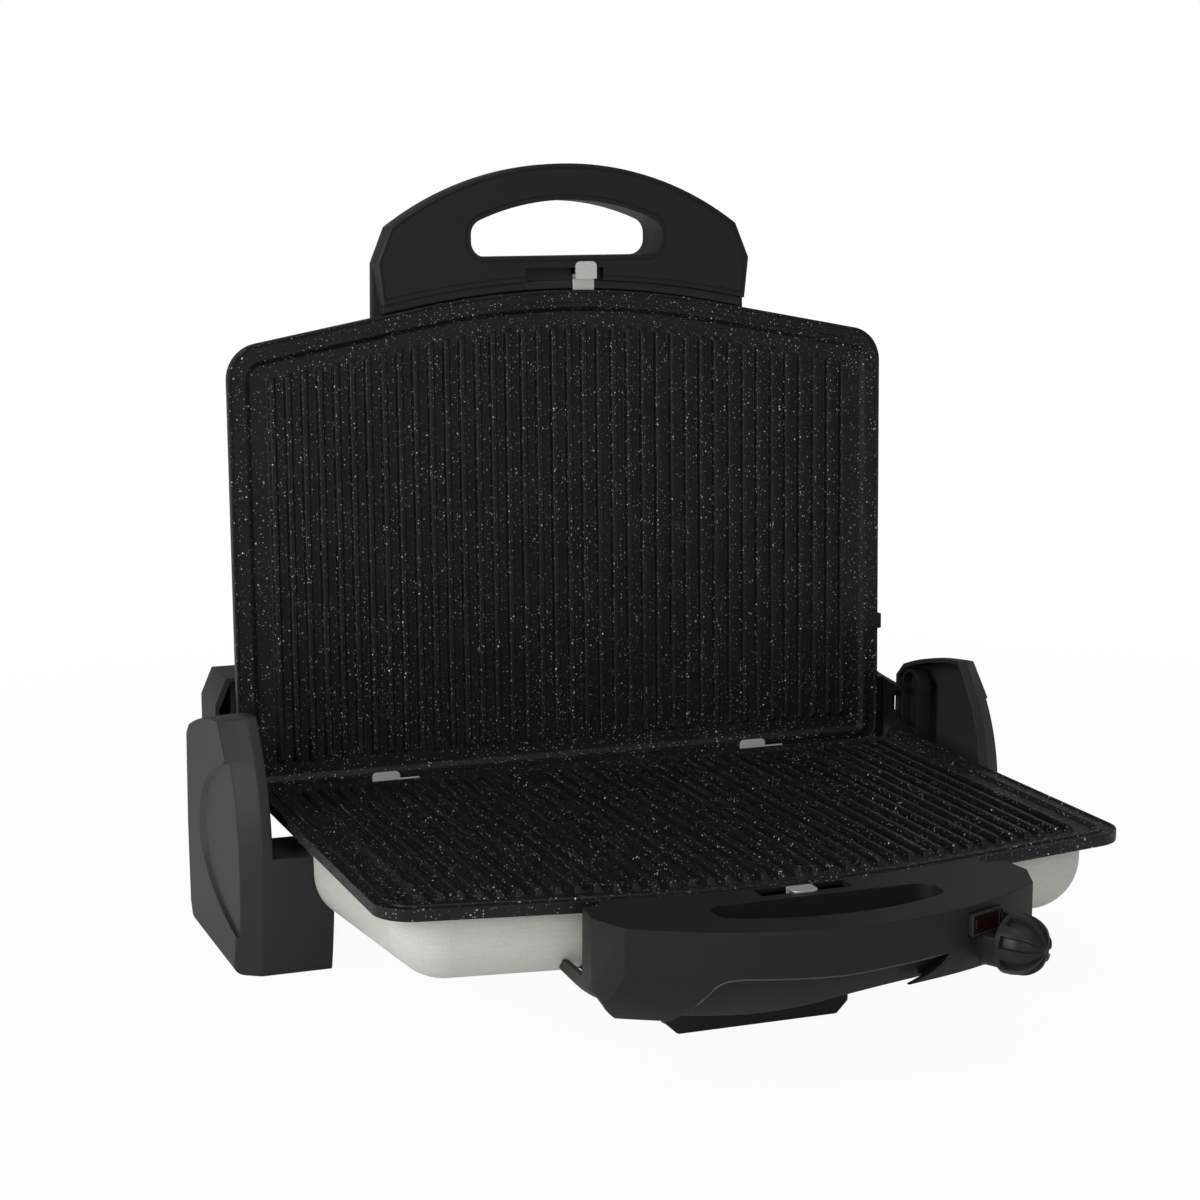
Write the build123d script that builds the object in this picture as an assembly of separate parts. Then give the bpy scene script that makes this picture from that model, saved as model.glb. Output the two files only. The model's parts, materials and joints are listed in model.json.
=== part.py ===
from build123d import *
import os
from math import atan2, cos, degrees, radians, sin, sqrt, tan

# Electric indoor grill with a hinged lid, open as at rest.
# Millimetres. +Z up, the table is z = 0, x = 0 is the middle, the food side of the base faces -Y.
# Work frame: y = 0 at the rear ends of the lower plate's ribs. The finished model is moved along y at
# the end, so that the origin lies under the middle of its bounding box.

# ---- cooking plates -------------------------------------------------------------------------------
FLOOR_Z = 77.0            # height of the lower plate's floor, between its ribs, above the table
PLATE_W = 368.0
PLATE_DEPTH = 260.0
PLATE_REAR = 18.0         # rear edge behind the ribs' rear ends
PLATE_ARC_R = 442.0       # bowed middle of the front edge
SHOULDER_ANGLE = 10.6     # the straight shoulders fall back from the arc's ends
PLATE_CORNER_R = 18.7
PLATE_REAR_R = 12.0
PLATE_SKIRT = 3.6         # underside below the floor
RIM_H = 2.0
RIM_W = 9.0
RIM_STEP = 2.4
LIP_W = 1.6               # the rim's thin outer lip stands above its ledge
LIP_H = 0.9
RIDGE_W = 2.4             # raised ridge along the rim's inner edge
RIB_PITCH = 8.5
RIBS_EACH_SIDE = 19
RIB_H = 3.0
RIB_BASE_W = 4.3
RIB_TOP_W = 2.4
RIB_END_SLOPE = 2.5
RIB_MARGIN = 18.3         # rib ends inside the front edge
CLOSED_GAP = 6.75         # between the two floors with the lid shut
LOWER_REAR = 12.6         # the lower plate stops short and has no rim at the rear
REAR_LUG_L = 3.5          # two lugs at the lower plate's rear, under its hooks
REAR_LUG_TOP = -2.7
LUG_Y = -52.8             # small lug on the upper plate's right side
LUG_L = 8.5
LUG_T = 2.2
NOSE_SLOT_W = 14.0        # slot in the front edge for the latch's nose
NOSE_SLOT_DEPTH = 3.2
NOSE_SLOT_LOW = -2.0
NOSE_SLOT_HIGH = -0.4

# ---- housings -------------------------------------------------------------------------------------
SHEET = 1.2
BOWL_INSET = 11.0         # housing wall inside the plate's edge
BOWL_DEPTH = 54.0         # at the rear
BOWL_FRONT_DEPTH = 38.5   # at the front
BOWL_R = 26.0             # round along the bottom
BOWL_CORNER_R = 27.5      # plan radius of the corners
BOWL_DRAFT = 2.0          # degrees
FLANGE_W = 10.0

# ---- retaining hooks ------------------------------------------------------------------------------
HOOK_X = 106.0
HOOK_W = 15.2
HOOK_T = 1.2
HOOK_NOTCH = 3.8          # notch in the plate's rear edge
HOOK_REACH = 9.2          # tip of the lip inside the plate's edge
HOOK_DROP = 14.0
HOOK_ROOT = 3.5           # the hooks run in as far as the housing's drafted wall
HOOK_STRIP = 10.7
HOOK_STRIP_Y = 12.7
HOOK_ROUND = 2.5
HOOK_GAP = 0.15

# ---- grip outline, shared by the handle and the front panel ----------------------------------------
GRIP_TOP = 2.55           # face above the plate's floor
GRIP_ARC_R = 163.2
GRIP_APEX_Y = -308.0
GRIP_BEVEL_X = 96.9
GRIP_HALF_W = 104.5
GRIP_SIDE_Y = -257.6
GRIP_ROOT_HALF_W = 101.6
GRIP_ROOT_Y = -232.0
GRIP_BACK_Y = -206.0
SLOT_HALF_W = 53.5
SLOT_BASE_Y = -259.8
SLOT_APEX_Y = -289.0
SLOT_ARC_R = 122.0
SLOT_CORNER_R = 8.0
PLATE_CLEAR = 0.6

# ---- handle ---------------------------------------------------------------------------------------
HANDLE_T = 28.0
HANDLE_FRONT_T = 10.0
HANDLE_ROUND = 16.0
HANDLE_CHAMFER = 1.0
HANDLE_EDGE_Y = -247.1    # apex of the face's lower edge
HANDLE_EDGE_R = 466.0
SKIRT_STEP = 4.2
SKIRT_HALF_W = 100.7
HANDLE_ROOT_HALF_W = 105.0
FACE_GROOVE_IN = 2.0      # fine groove just inside the face's outline and round its slot
FACE_GROOVE_W = 0.8
FACE_GROOVE_D = 0.5

# ---- front panel ----------------------------------------------------------------------------------
PANEL_WALL = 2.5
PANEL_DEPTH = 42.5
PANEL_TURN_Z = -6.0       # where the front starts to curve under
PANEL_MID_IN = 2.7        # the front's curve inside the grip's arc, half way down
PANEL_MID_Z = -26.0
PANEL_LOW_IN = 14.2       # the same at the underside
PANEL_END_Y = -241.0      # the panel's ends stop here, above the arm that runs back under the housing
PANEL_END_X = 92.0
PANEL_ARM_Z = -29.0
PANEL_ARM_R = 4.0
PANEL_RISE = 3.4          # the underside meets the housing's floor this much higher
FINGER_DEPTH = 10.0
BELLY_STEP = 2.6
BELLY_LEAN = 9.0
BELLY_SHIFT = 2.0
TRAY_GAP = 0.2

# ---- latches --------------------------------------------------------------------------------------
LATCH_W = 12.0
LATCH_T = 1.0
LOWER_LATCH_X = -4.0
UPPER_LATCH_X = 9.8
LATCH_FRONT_Y = -256.9
LATCH_TAB_L = 9.3
LATCH_TAB_Z = 2.75
LATCH_TAB_ROUND = 2.8
LATCH_LAP = 2.5
LATCH_NOSE_Z = -1.7
LATCH_STEM_Y = -249.5
LATCH_STEM_T = 1.6
LATCH_STEM_H = 12.0
LATCH_TRAVEL = 3.0
POCKET_X0 = -24.0
POCKET_X1 = 20.0
POCKET_Y = -253.5
POCKET_DEPTH = 5.0
POCKET_FLOOR_T = 2.5

# ---- thermostat, knob and lamp --------------------------------------------------------------------
KNOB_ANGLE = 25.0         # round the grip's arc, from the middle
KNOB_Z = -15.4
KNOB_R = 13.6
KNOB_L = 18.3
KNOB_RIM = 2.5
KNOB_TIP_R = 7.0
KNOB_GRIPS = 8
KNOB_GROOVE_W = 4.8
KNOB_GROOVE_D = 2.4
KNOB_GROOVE_IN = 2.6      # the grooves start behind the knob's rim
COLLAR_R = 12.0
COLLAR_L = 7.8
THERMOSTAT_HALF_W = 12.0
THERMOSTAT_LOW = -7.0
THERMOSTAT_HIGH = 5.0
THERMOSTAT_Y0 = 8.0
THERMOSTAT_Y1 = 20.0
SPINDLE_R = 3.0
SPINDLE_GAP = 0.05
KNOB_FACE_GAP = 0.5
LAMP_ANGLE = 22.3
LAMP_Z = -5.9
LAMP_W = 21.0
LAMP_H = 10.0
LAMP_PROUD = 2.4
LAMP_RIM = 1.4
LAMP_GAP = 0.1

# ---- hinge, arms and carriers ---------------------------------------------------------------------
HINGE_Y = 23.0
HINGE_Z = 59.7
OPEN_ANGLE = 91.6
PIN_R = 4.0
PIN_GAP = 0.05
PIN_HEAD_R = 7.0
PIN_HEAD_T = 2.5
HUB_R = 18.7
ARM_CLEAR = 1.3           # between the plates' sides and the arms
ARM_T = 3.2
HUB_W = 6.0
NECK_T = 3.0
ARM_X = PLATE_W / 2 + ARM_CLEAR
ARM_OUT_X = ARM_X + HUB_W
ARM_PLATE_X = ARM_OUT_X - NECK_T
ARM_INNER_Y = 50.0
CARRIER_GAP = 0.5
CARRIER_W = 16.4
CARRIER_BOTTOM = 38.0
CARRIER_TOP = 78.0
LIFT = 18.0
SLIDE_GAP = 0.3
GUIDE_WALL = 2.0
GUIDE_DEPTH = 7.5
GUIDE_BOSS_R = 4.0
GUIDE_TOP = 111.0
GUIDE_FOOT = 6.0

# ---- arm covers -----------------------------------------------------------------------------------
EAR_Y0 = 68.0
EAR_Y1 = 102.0
EAR_Z0 = 70.0
EAR_Z1 = 125.0
EAR_REACH = 24.0          # how far a cover reaches in behind the plate
EAR_INNER_X = PLATE_W / 2 - EAR_REACH
EAR_WALL = 2.5
EAR_RIB_IN = 4.0
EAR_CHAMFER_X = 6.0
EAR_CHAMFER_Z = 14.0

# ---- columns and feet -----------------------------------------------------------------------------
COLUMN_CLEAR = 1.2        # between an arm and its column
COLUMN_T = 17.0
COLUMN_IN_X = ARM_OUT_X + COLUMN_CLEAR
COLUMN_OUT_X = COLUMN_IN_X + COLUMN_T
COLUMN_FLAT = 5.0         # the front and top are straight this far out, then sweep back
COLUMN_BEND_X = COLUMN_IN_X + COLUMN_FLAT
COLUMN_ROUND = 5.0        # outer bottom edge
COLUMN_WALL = 2.5
LEDGE_Z = 61.0
FOOT_REACH = 22.0         # how far a foot reaches in under the plate
FOOT_IN_X = PLATE_W / 2 - FOOT_REACH
FOOT_HIGH_BACK_Y = -18.0
FOOT_PAD_Y = -36.0
FOOT_SCREW_Y = -4.0
FOOT_LOW_Z = 34.0
FOOT_REAR_Y = 36.0
RECESS_DEPTH = 1.9
BASE_LIFT = 0.5           # mouldings clear of the table, on rubber pads
PAD_R = 6.0
PAD_T = 3.0
FRONT_FOOT_HALF_W = 46.0
FRONT_FOOT_Y = -199.0
FRONT_FOOT_LENGTH = 42.0
FRONT_FOOT_CHAMFER = 6.0

# ---- inside the housings --------------------------------------------------------------------------
REFLECTOR_T = 0.8
REFLECTOR_INSET = 26.0
REFLECTOR_DROP = 22.0
REFLECTOR_RIM = 6.0
HEATER_R = 3.3
HEATER_INSET = 58.0
HEATER_BACK = 33.0        # the left loop stops short of the front by this
HEATER_GAP = 0.4
POST_R = 3.0
POST_IN = 66.0
GLAND_X = 120.0
GLAND_R = 9.0
GLAND_BORE_R = 4.0
GLAND_L = 10.5
GLAND_Z = -22.0
BLOCK_SIZE = (40.0, 18.0, 14.0)
BLOCK_IN = 33.0
SCREW_R = 3.4
SCREW_T = 1.6
SCREW_SLOT = 0.9
SCREW_GAP = 0.2

FAR = 400.0
TINY = 0.01
ARC_Y = PLATE_REAR - PLATE_DEPTH + PLATE_ARC_R
FRONT_Y = PLATE_REAR - PLATE_DEPTH
BOWL_FRONT_Y = FRONT_Y + BOWL_INSET + BOWL_R
BOWL_REAR_Y = PLATE_REAR - BOWL_INSET - BOWL_R
GRIP_ARC_Y = GRIP_APEX_Y + GRIP_ARC_R
SHOULDER = radians(SHOULDER_ANGLE)
HINGE_AXIS = Axis((0, HINGE_Y, HINGE_Z), (-1, 0, 0))


def box(x0, x1, y0, y1, z0, z1):
    """A block between two corners."""
    return Pos((x0 + x1) / 2, (y0 + y1) / 2, (z0 + z1) / 2) * Box(x1 - x0, y1 - y0, z1 - z0)


def prism_x(points, x0, x1):
    """A (y, z) polygon run along x."""
    face = make_face(Polyline(*[(x0, y, z) for y, z in points], close=True))
    return extrude(face, x1 - x0, dir=(1, 0, 0))


def rod_x(y, z, radius, x0, x1):
    """A round bar along x."""
    return Pos((x0 + x1) / 2, y, z) * Rot(0, 90, 0) * Cylinder(radius, x1 - x0)


def group(parts):
    """Separate solids of one piece."""
    return Compound(children=[solid for part in parts for solid in part.solids()])


def mirrored(shape):
    """The same piece on the other side of the object."""
    return mirror(shape, Plane.YZ)


def to_base(shape):
    """From the plates' frame (z = 0 at the floor, food side up) to its place in the base."""
    return Pos(0, 0, FLOOR_Z) * shape


def to_lid(shape):
    """The same for a lid piece: turned food side down, shut, then opened about the hinge."""
    shut = Pos(0, 0, FLOOR_Z + CLOSED_GAP) * mirror(shape, Plane.XY)
    return shut.rotate(HINGE_AXIS, OPEN_ANGLE)


# ---- plates ---------------------------------------------------------------------------------------
def front_edge(x):
    """The y of the plates' front edge at x."""
    middle = PLATE_ARC_R * sin(SHOULDER)
    if abs(x) < middle:
        return ARC_Y - sqrt(PLATE_ARC_R**2 - x**2)
    return ARC_Y - PLATE_ARC_R * cos(SHOULDER) + (abs(x) - middle) * tan(SHOULDER)


def plan(inset, front_r=None, rear_r=None):
    """The outline of both plates, drawn in by inset, as a face at z = 0, with its corner radii."""
    r = PLATE_ARC_R - inset
    half = PLATE_W / 2 - inset
    rear = PLATE_REAR - inset
    ax = r * sin(SHOULDER)
    ay = ARC_Y - r * cos(SHOULDER)
    side_y = ay + (half - ax) * tan(SHOULDER)
    with BuildSketch() as sketch:
        with BuildLine():
            ThreePointArc((-ax, ay), (0, ARC_Y - r), (ax, ay))
            Polyline((ax, ay), (half, side_y), (half, rear), (-half, rear), (-half, side_y), (-ax, ay))
        make_face()
        front = [v for v in sketch.vertices() if abs(v.X) > half - TINY and v.Y < rear - TINY]
        fillet(front, front_r or max(PLATE_CORNER_R - inset, RIM_H))
        back = [v for v in sketch.vertices() if v.Y > rear - TINY]
        fillet(back, rear_r or max(PLATE_REAR_R - inset, RIM_H))
    return sketch.sketch


def slab(inset, z0, z1):
    """The plates' outline as a slab."""
    return extrude(Pos(0, 0, z0) * plan(inset), z1 - z0)


def rib(x):
    """One cooking rib with sloped sides and ends."""
    y0 = front_edge(x) + RIB_MARGIN
    low = Pos(x, y0 / 2, 0) * Rectangle(RIB_BASE_W, -y0)
    high = Pos(x, y0 / 2, RIB_H) * Rectangle(RIB_TOP_W, -y0 - 2 * RIB_END_SLOPE)
    return loft([low.face(), high.face()], ruled=True)


def cooking_plate(latch_x):
    """Cast plate: rim, step down to the floor, ribs, and a slot in the front edge for the latch."""
    plate = slab(0, -PLATE_SKIRT, RIM_H)
    floor = plan(RIM_W + RIM_STEP).face()
    mouth = Pos(0, 0, RIM_H) * plan(RIM_W).face()
    plate -= loft([floor, mouth], ruled=True)
    plate -= slab(LIP_W, RIM_H - LIP_H, FAR) - slab(RIM_W - RIDGE_W, -FAR, FAR)
    plate += [rib(i * RIB_PITCH) for i in range(-RIBS_EACH_SIDE, RIBS_EACH_SIDE + 1)]
    half = NOSE_SLOT_W / 2
    return plate - box(latch_x - half, latch_x + half, -FAR, FRONT_Y + NOSE_SLOT_DEPTH, NOSE_SLOT_LOW,
                       NOSE_SLOT_HIGH)


def lower_plate():
    """The lower plate: shorter at the rear, where it has no rim."""
    plate = cooking_plate(LOWER_LATCH_X) - box(-FAR, FAR, LOWER_REAR, FAR, -FAR, FAR)
    half = PLATE_W / 2 - RIM_W - RIM_STEP
    plate -= box(-half, half, PLATE_REAR - RIM_W - RIM_STEP, FAR, 0, FAR)
    for x in (-HOOK_X, HOOK_X):
        plate += box(x - HOOK_W / 2, x + HOOK_W / 2, LOWER_REAR - REAR_LUG_L, LOWER_REAR + REAR_LUG_L, -PLATE_SKIRT,
                     REAR_LUG_TOP)
    return plate


def upper_plate():
    """The upper plate: notched for the hooks, with a small lug on its right side."""
    plate = cooking_plate(UPPER_LATCH_X)
    for x in (-HOOK_X, HOOK_X):
        half = HOOK_W / 2 + PLATE_CLEAR
        plate -= box(x - half, x + half, PLATE_REAR - HOOK_NOTCH, FAR, -FAR, FAR)
    edge = PLATE_W / 2
    return plate + box(edge - LUG_T, edge + LUG_T, LUG_Y - LUG_L / 2, LUG_Y + LUG_L / 2, -RIM_H, RIM_H)


# ---- housings -------------------------------------------------------------------------------------
def bowl_floor(y):
    """Height of the housings' sloped bottom, outside, at y."""
    return -BOWL_FRONT_DEPTH - (BOWL_DEPTH - BOWL_FRONT_DEPTH) * (y - BOWL_FRONT_Y) / (BOWL_REAR_Y - BOWL_FRONT_Y)


def bowl(inset):
    """Outer form of both housings, drawn in by inset: drafted walls, a round below, and a bottom that
    rises towards the front."""
    mouth = Pos(0, 0, -PLATE_SKIRT) * plan(BOWL_INSET + inset, BOWL_CORNER_R - inset, BOWL_CORNER_R - inset)
    walls = extrude(mouth, BOWL_DEPTH, dir=(0, 0, -1), taper=BOWL_DRAFT)
    ends = [(y, bowl_floor(y) + inset) for y in (-FAR, FAR)]
    body = walls & prism_x(ends + [(FAR, FAR), (-FAR, FAR)], -FAR, FAR)
    low = [e for e in body.edges() if e.bounding_box().max.Z < (-BOWL_FRONT_DEPTH - PLATE_SKIRT) / 2]
    return fillet(low, BOWL_R - inset)


BOWL = bowl(0)


def housing():
    """Sheet bowl with an in-turned flange that carries the plate."""
    flange = BOWL & box(-FAR, FAR, -FAR, FAR, -PLATE_SKIRT - SHEET, 0)
    flange -= slab(BOWL_INSET + FLANGE_W, -FAR, FAR)
    return BOWL - bowl(SHEET) + flange


def hooks():
    """Two sprung steel hooks behind the upper plate, lipped over its rim, each with a side strip."""
    found = []
    for x in (-HOOK_X, HOOK_X):
        x0 = x - HOOK_W / 2
        x1 = x + HOOK_W / 2
        z = RIM_H + HOOK_GAP
        leg = box(x0, x1, PLATE_REAR - HOOK_T, PLATE_REAR, -HOOK_DROP, z + HOOK_T)
        lip = box(x0, x1, PLATE_REAR - HOOK_REACH, PLATE_REAR, z, z + HOOK_T)
        lip = fillet(lip.edges().filter_by(Axis.Z).group_by(Axis.Y)[0], HOOK_ROUND)
        strip = box(x1 - HOOK_ROUND, x1 + HOOK_STRIP, HOOK_STRIP_Y, HOOK_STRIP_Y + HOOK_T, z, z + HOOK_T)
        root = box(x0, x1, PLATE_REAR - BOWL_INSET - HOOK_ROOT, PLATE_REAR, -HOOK_DROP, -HOOK_DROP + HOOK_T)
        found.append(leg + lip + strip + (root - BOWL))
    return group(found)


def lower_hooks():
    """Two hooks behind the lower plate, lipped over its rear lugs and clear of its floor's sight line."""
    found = []
    for x in (-HOOK_X, HOOK_X):
        x0 = x - HOOK_W / 2
        x1 = x + HOOK_W / 2
        z = REAR_LUG_TOP + HOOK_GAP
        y0 = LOWER_REAR + HOOK_GAP
        y1 = LOWER_REAR + REAR_LUG_L + HOOK_GAP
        leg = box(x0, x1, y1, y1 + HOOK_T, -HOOK_DROP, z + HOOK_T)
        lip = box(x0, x1, y0, y1 + HOOK_T, z, z + HOOK_T)
        root = box(x0, x1, PLATE_REAR - BOWL_INSET - HOOK_ROOT, y1 + HOOK_T, -HOOK_DROP, -HOOK_DROP + HOOK_T)
        found.append(leg + lip + (root - BOWL))
    return group(found)


# ---- grip outline ---------------------------------------------------------------------------------
def grip_plan(inset, root_half_w=GRIP_ROOT_HALF_W):
    """The outline that the handle and the panel share, drawn in by inset."""
    bevel_y = GRIP_ARC_Y - sqrt(GRIP_ARC_R**2 - GRIP_BEVEL_X**2)
    with BuildSketch() as sketch:
        with BuildLine():
            ThreePointArc((-GRIP_BEVEL_X, bevel_y), (0, GRIP_APEX_Y), (GRIP_BEVEL_X, bevel_y))
            Polyline((GRIP_BEVEL_X, bevel_y), (GRIP_HALF_W, GRIP_SIDE_Y), (root_half_w, GRIP_ROOT_Y),
                     (root_half_w, GRIP_BACK_Y), (-root_half_w, GRIP_BACK_Y), (-root_half_w, GRIP_ROOT_Y),
                     (-GRIP_HALF_W, GRIP_SIDE_Y), (-GRIP_BEVEL_X, bevel_y))
        make_face()
        if inset:
            offset(amount=-inset, kind=Kind.INTERSECTION, mode=Mode.REPLACE)
    return sketch.sketch


def slot_plan(grow):
    """The arched hand slot, let out by grow."""
    half = SLOT_HALF_W + grow
    base = SLOT_BASE_Y + grow
    r = SLOT_ARC_R + grow
    apex = SLOT_APEX_Y - grow
    end_y = apex + r - sqrt(r**2 - half**2)
    with BuildSketch() as sketch:
        with BuildLine():
            ThreePointArc((-half, end_y), (0, apex), (half, end_y))
            Polyline((half, end_y), (half, base), (-half, base), (-half, end_y))
        make_face()
        fillet(sketch.vertices(), SLOT_CORNER_R + grow)
    return sketch.sketch


def grip_block(inset, z0, z1):
    """The grip outline as a block."""
    return extrude(Pos(0, 0, z0) * grip_plan(inset), z1 - z0)


def latch_pocket(latch_x):
    """The shallow pocket round a latch, with the slot that its stem slides in."""
    pocket = box(POCKET_X0, POCKET_X1, POCKET_Y, GRIP_BACK_Y, GRIP_TOP - POCKET_DEPTH, FAR)
    half = LATCH_W / 2 + SLIDE_GAP
    y0 = LATCH_STEM_Y - LATCH_STEM_T / 2 - LATCH_TRAVEL - SLIDE_GAP
    y1 = LATCH_STEM_Y + LATCH_STEM_T / 2 + SLIDE_GAP
    return pocket + box(latch_x - half, latch_x + half, y0, y1, LATCH_TAB_Z - LATCH_STEM_H - SLIDE_GAP, FAR)


def latch(x):
    """Plate latch of bent steel: finger tab, a step down to the nose in the plate's slot, and a stem."""
    x0 = x - LATCH_W / 2
    x1 = x + LATCH_W / 2
    top = LATCH_TAB_Z + LATCH_T
    step_y = LATCH_FRONT_Y + LATCH_TAB_L
    tab = box(x0, x1, LATCH_FRONT_Y, step_y, LATCH_TAB_Z, top)
    tab = fillet(tab.edges().filter_by(Axis.Z).group_by(Axis.Y)[0], LATCH_TAB_ROUND)
    step = box(x0, x1, step_y - LATCH_T, step_y, LATCH_NOSE_Z, top)
    nose = box(x0, x1, step_y - LATCH_T, FRONT_Y + LATCH_LAP, LATCH_NOSE_Z, LATCH_NOSE_Z + LATCH_T)
    half_t = LATCH_STEM_T / 2
    stem = box(x0, x1, LATCH_STEM_Y - half_t, LATCH_STEM_Y + half_t, LATCH_TAB_Z - LATCH_STEM_H, top)
    return tab + step + nose + stem


# ---- handle ---------------------------------------------------------------------------------------
def face_edge(inset=0):
    """The round that bounds the handle's face towards the plate."""
    return Pos(0, HANDLE_EDGE_Y + HANDLE_EDGE_R, 0) * Cylinder(HANDLE_EDGE_R + inset, FAR)


def groove_edge(inset):
    """Everything in front of the face's lower edge, drawn in by inset."""
    return box(-FAR, FAR, -FAR, 0, -FAR, FAR) - face_edge(inset)


def handle_front():
    """Face moulding of the handle."""
    body = grip_block(0, GRIP_TOP - HANDLE_FRONT_T, GRIP_TOP)
    body = chamfer(body.faces().sort_by(Axis.Z)[-1].edges(), HANDLE_CHAMFER)
    body -= face_edge()
    body -= extrude(Pos(0, 0, -FAR) * slot_plan(0), 2 * FAR)
    z0 = GRIP_TOP - FACE_GROOVE_D
    outer = FACE_GROOVE_IN + FACE_GROOVE_W
    ring = (grip_block(FACE_GROOVE_IN, z0, FAR) & groove_edge(FACE_GROOVE_IN))
    ring -= grip_block(outer, -FAR, FAR) & groove_edge(outer)
    slot_ring = extrude(Pos(0, 0, z0) * slot_plan(outer), FAR) - extrude(Pos(0, 0, -FAR) * slot_plan(FACE_GROOVE_IN), 2 * FAR)
    return body - ring - slot_ring - latch_pocket(UPPER_LATCH_X)


def handle_rear():
    """Rear moulding of the handle: the back half of the grip and the root on the housing."""
    z1 = GRIP_TOP - HANDLE_FRONT_T
    z0 = GRIP_TOP - HANDLE_T
    body = extrude(Pos(0, 0, z0) * grip_plan(0, HANDLE_ROOT_HALF_W), z1 - z0)
    body = fillet(body.faces().sort_by(Axis.Z)[0].edges(), HANDLE_ROUND)
    skirt = grip_block(0, z1, GRIP_TOP - SKIRT_STEP) & face_edge()
    skirt &= box(-SKIRT_HALF_W, SKIRT_HALF_W, -FAR, 0, -FAR, FAR)
    skirt -= slab(-PLATE_CLEAR, -FAR, FAR)
    body += skirt
    body -= extrude(Pos(0, 0, -FAR) * slot_plan(0), 2 * FAR)
    return body - BOWL - latch_pocket(UPPER_LATCH_X)


# ---- front panel ----------------------------------------------------------------------------------
def turned_front(points, shift):
    """A body of revolution about the grip's arc centre, from (radius, z) points: line, arc, line."""
    top, turn, middle, low = points
    with BuildSketch(Plane.XZ) as sketch:
        with BuildLine():
            Line(top, turn)
            ThreePointArc(turn, middle, low)
            Polyline(low, (0, low[1]), (0, top[1]), top)
        make_face()
    solid = revolve(sketch.sketch, Axis.Z, 360)
    return Pos(shift, GRIP_ARC_Y, 0) * solid


def panel_front(inset):
    """The panel's curved front, drawn in by inset."""
    points = [(GRIP_ARC_R - inset, GRIP_TOP - inset), (GRIP_ARC_R - inset, PANEL_TURN_Z),
              (GRIP_ARC_R - PANEL_MID_IN - inset, PANEL_MID_Z),
              (GRIP_ARC_R - PANEL_LOW_IN - inset, -PANEL_DEPTH - TINY)]
    return turned_front(points, 0)


def belly_front(inset):
    """The tray's front: it starts a step behind the panel's and leans back further down."""
    points = [(GRIP_ARC_R - inset, GRIP_TOP), (GRIP_ARC_R - BELLY_STEP - inset, 2 * PANEL_TURN_Z),
              (GRIP_ARC_R - PANEL_MID_IN - BELLY_STEP - BELLY_LEAN / 3 - inset, PANEL_MID_Z),
              (GRIP_ARC_R - PANEL_LOW_IN - BELLY_LEAN - inset, -PANEL_DEPTH - TINY)]
    return turned_front(points, -BELLY_SHIFT)


UNDER_POINTS = [(-104, -43), (-72, -40.5), (-50, -39.5), (-28, -36.5), (-7, -31.5), (12, -28.5), (40, -27.3),
                (105, -25.5)]
END_LEFT = [(-104.6, -20), (-101.5, -34), (-92, -44)]
END_RIGHT = [(104.6, -4), (101.5, -17), (90, -29)]


def under_line(rise):
    """The space above the panel's underside: low on the left, sweeping up to the right."""
    points = [(x, z + rise) for x, z in UNDER_POINTS]
    with BuildSketch(Plane.XZ) as sketch:
        with BuildLine():
            Spline(*points)
            Polyline(points[-1], (FAR, points[-1][1]), (FAR, FAR), (-FAR, FAR), (-FAR, points[0][1]), points[0])
        make_face()
    return extrude(sketch.sketch, FAR, both=True)


def rounded_ends():
    """The space between the panel's two ends, which round off towards the underside."""
    with BuildSketch(Plane.XZ) as sketch:
        with BuildLine():
            ThreePointArc(*END_LEFT)
            ThreePointArc(*END_RIGHT)
            Polyline(END_LEFT[-1], (END_LEFT[-1][0], -FAR), (END_RIGHT[-1][0], -FAR), END_RIGHT[-1])
            Polyline(END_LEFT[0], (END_LEFT[0][0], FAR), (END_RIGHT[0][0], FAR), END_RIGHT[0])
        make_face()
    return extrude(sketch.sketch, FAR, both=True)


def end_cut():
    """What is taken off behind the panel's ends, above the arms that run back under the housing."""
    cut = box(PANEL_END_X, FAR, PANEL_END_Y, FAR, PANEL_ARM_Z, FAR)
    cut = fillet(cut.edges().filter_by(Axis.X).group_by(Axis.Y)[0].sort_by(Axis.Z)[0], PANEL_ARM_R)
    return cut + mirrored(cut)


def rear_rise(rise):
    """The space above the sloped underside that runs back below the housing."""
    points = [(-FAR, -PANEL_DEPTH + rise), (GRIP_SIDE_Y, -PANEL_DEPTH + rise),
              (GRIP_BACK_Y, -BOWL_FRONT_DEPTH + PANEL_RISE + rise), (GRIP_BACK_Y, FAR), (-FAR, FAR)]
    return prism_x(points, -FAR, FAR)


def panel_outer(inset):
    """Everything inside the panel's outer faces, drawn in by inset."""
    body = grip_block(inset, -PANEL_DEPTH, GRIP_TOP - inset)
    return body & panel_front(inset) & rounded_ends()


SCOOP_LINE = [(-80, -48), (-72.5, -36), (-67.3, -28.6), (-63, -22.1), (-57.8, -19.2), (-51, -18.4), (-33, -18.8),
              (-10, -18.9), (7, -17.8), (25, -16.9), (41, -16.3)]
SCOOP_END = [(41, -16.3), (35, -22), (23, -27.2), (12, -46)]


def scoop(grow):
    """The region of the front that the tray fills, bounded by the long S-shaped line."""
    with BuildSketch(Plane.XZ) as sketch:
        with BuildLine():
            Spline(*[(x, z + grow) for x, z in SCOOP_LINE])
            Spline(*[(x, z + grow) for x, z in SCOOP_END])
            Line((SCOOP_END[-1][0], SCOOP_END[-1][1] + grow), (SCOOP_LINE[0][0], SCOOP_LINE[0][1] + grow))
        make_face()
    return extrude(sketch.sketch, FAR, both=True) & box(-FAR, FAR, -FAR, GRIP_SIDE_Y, -FAR, FAR)


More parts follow.
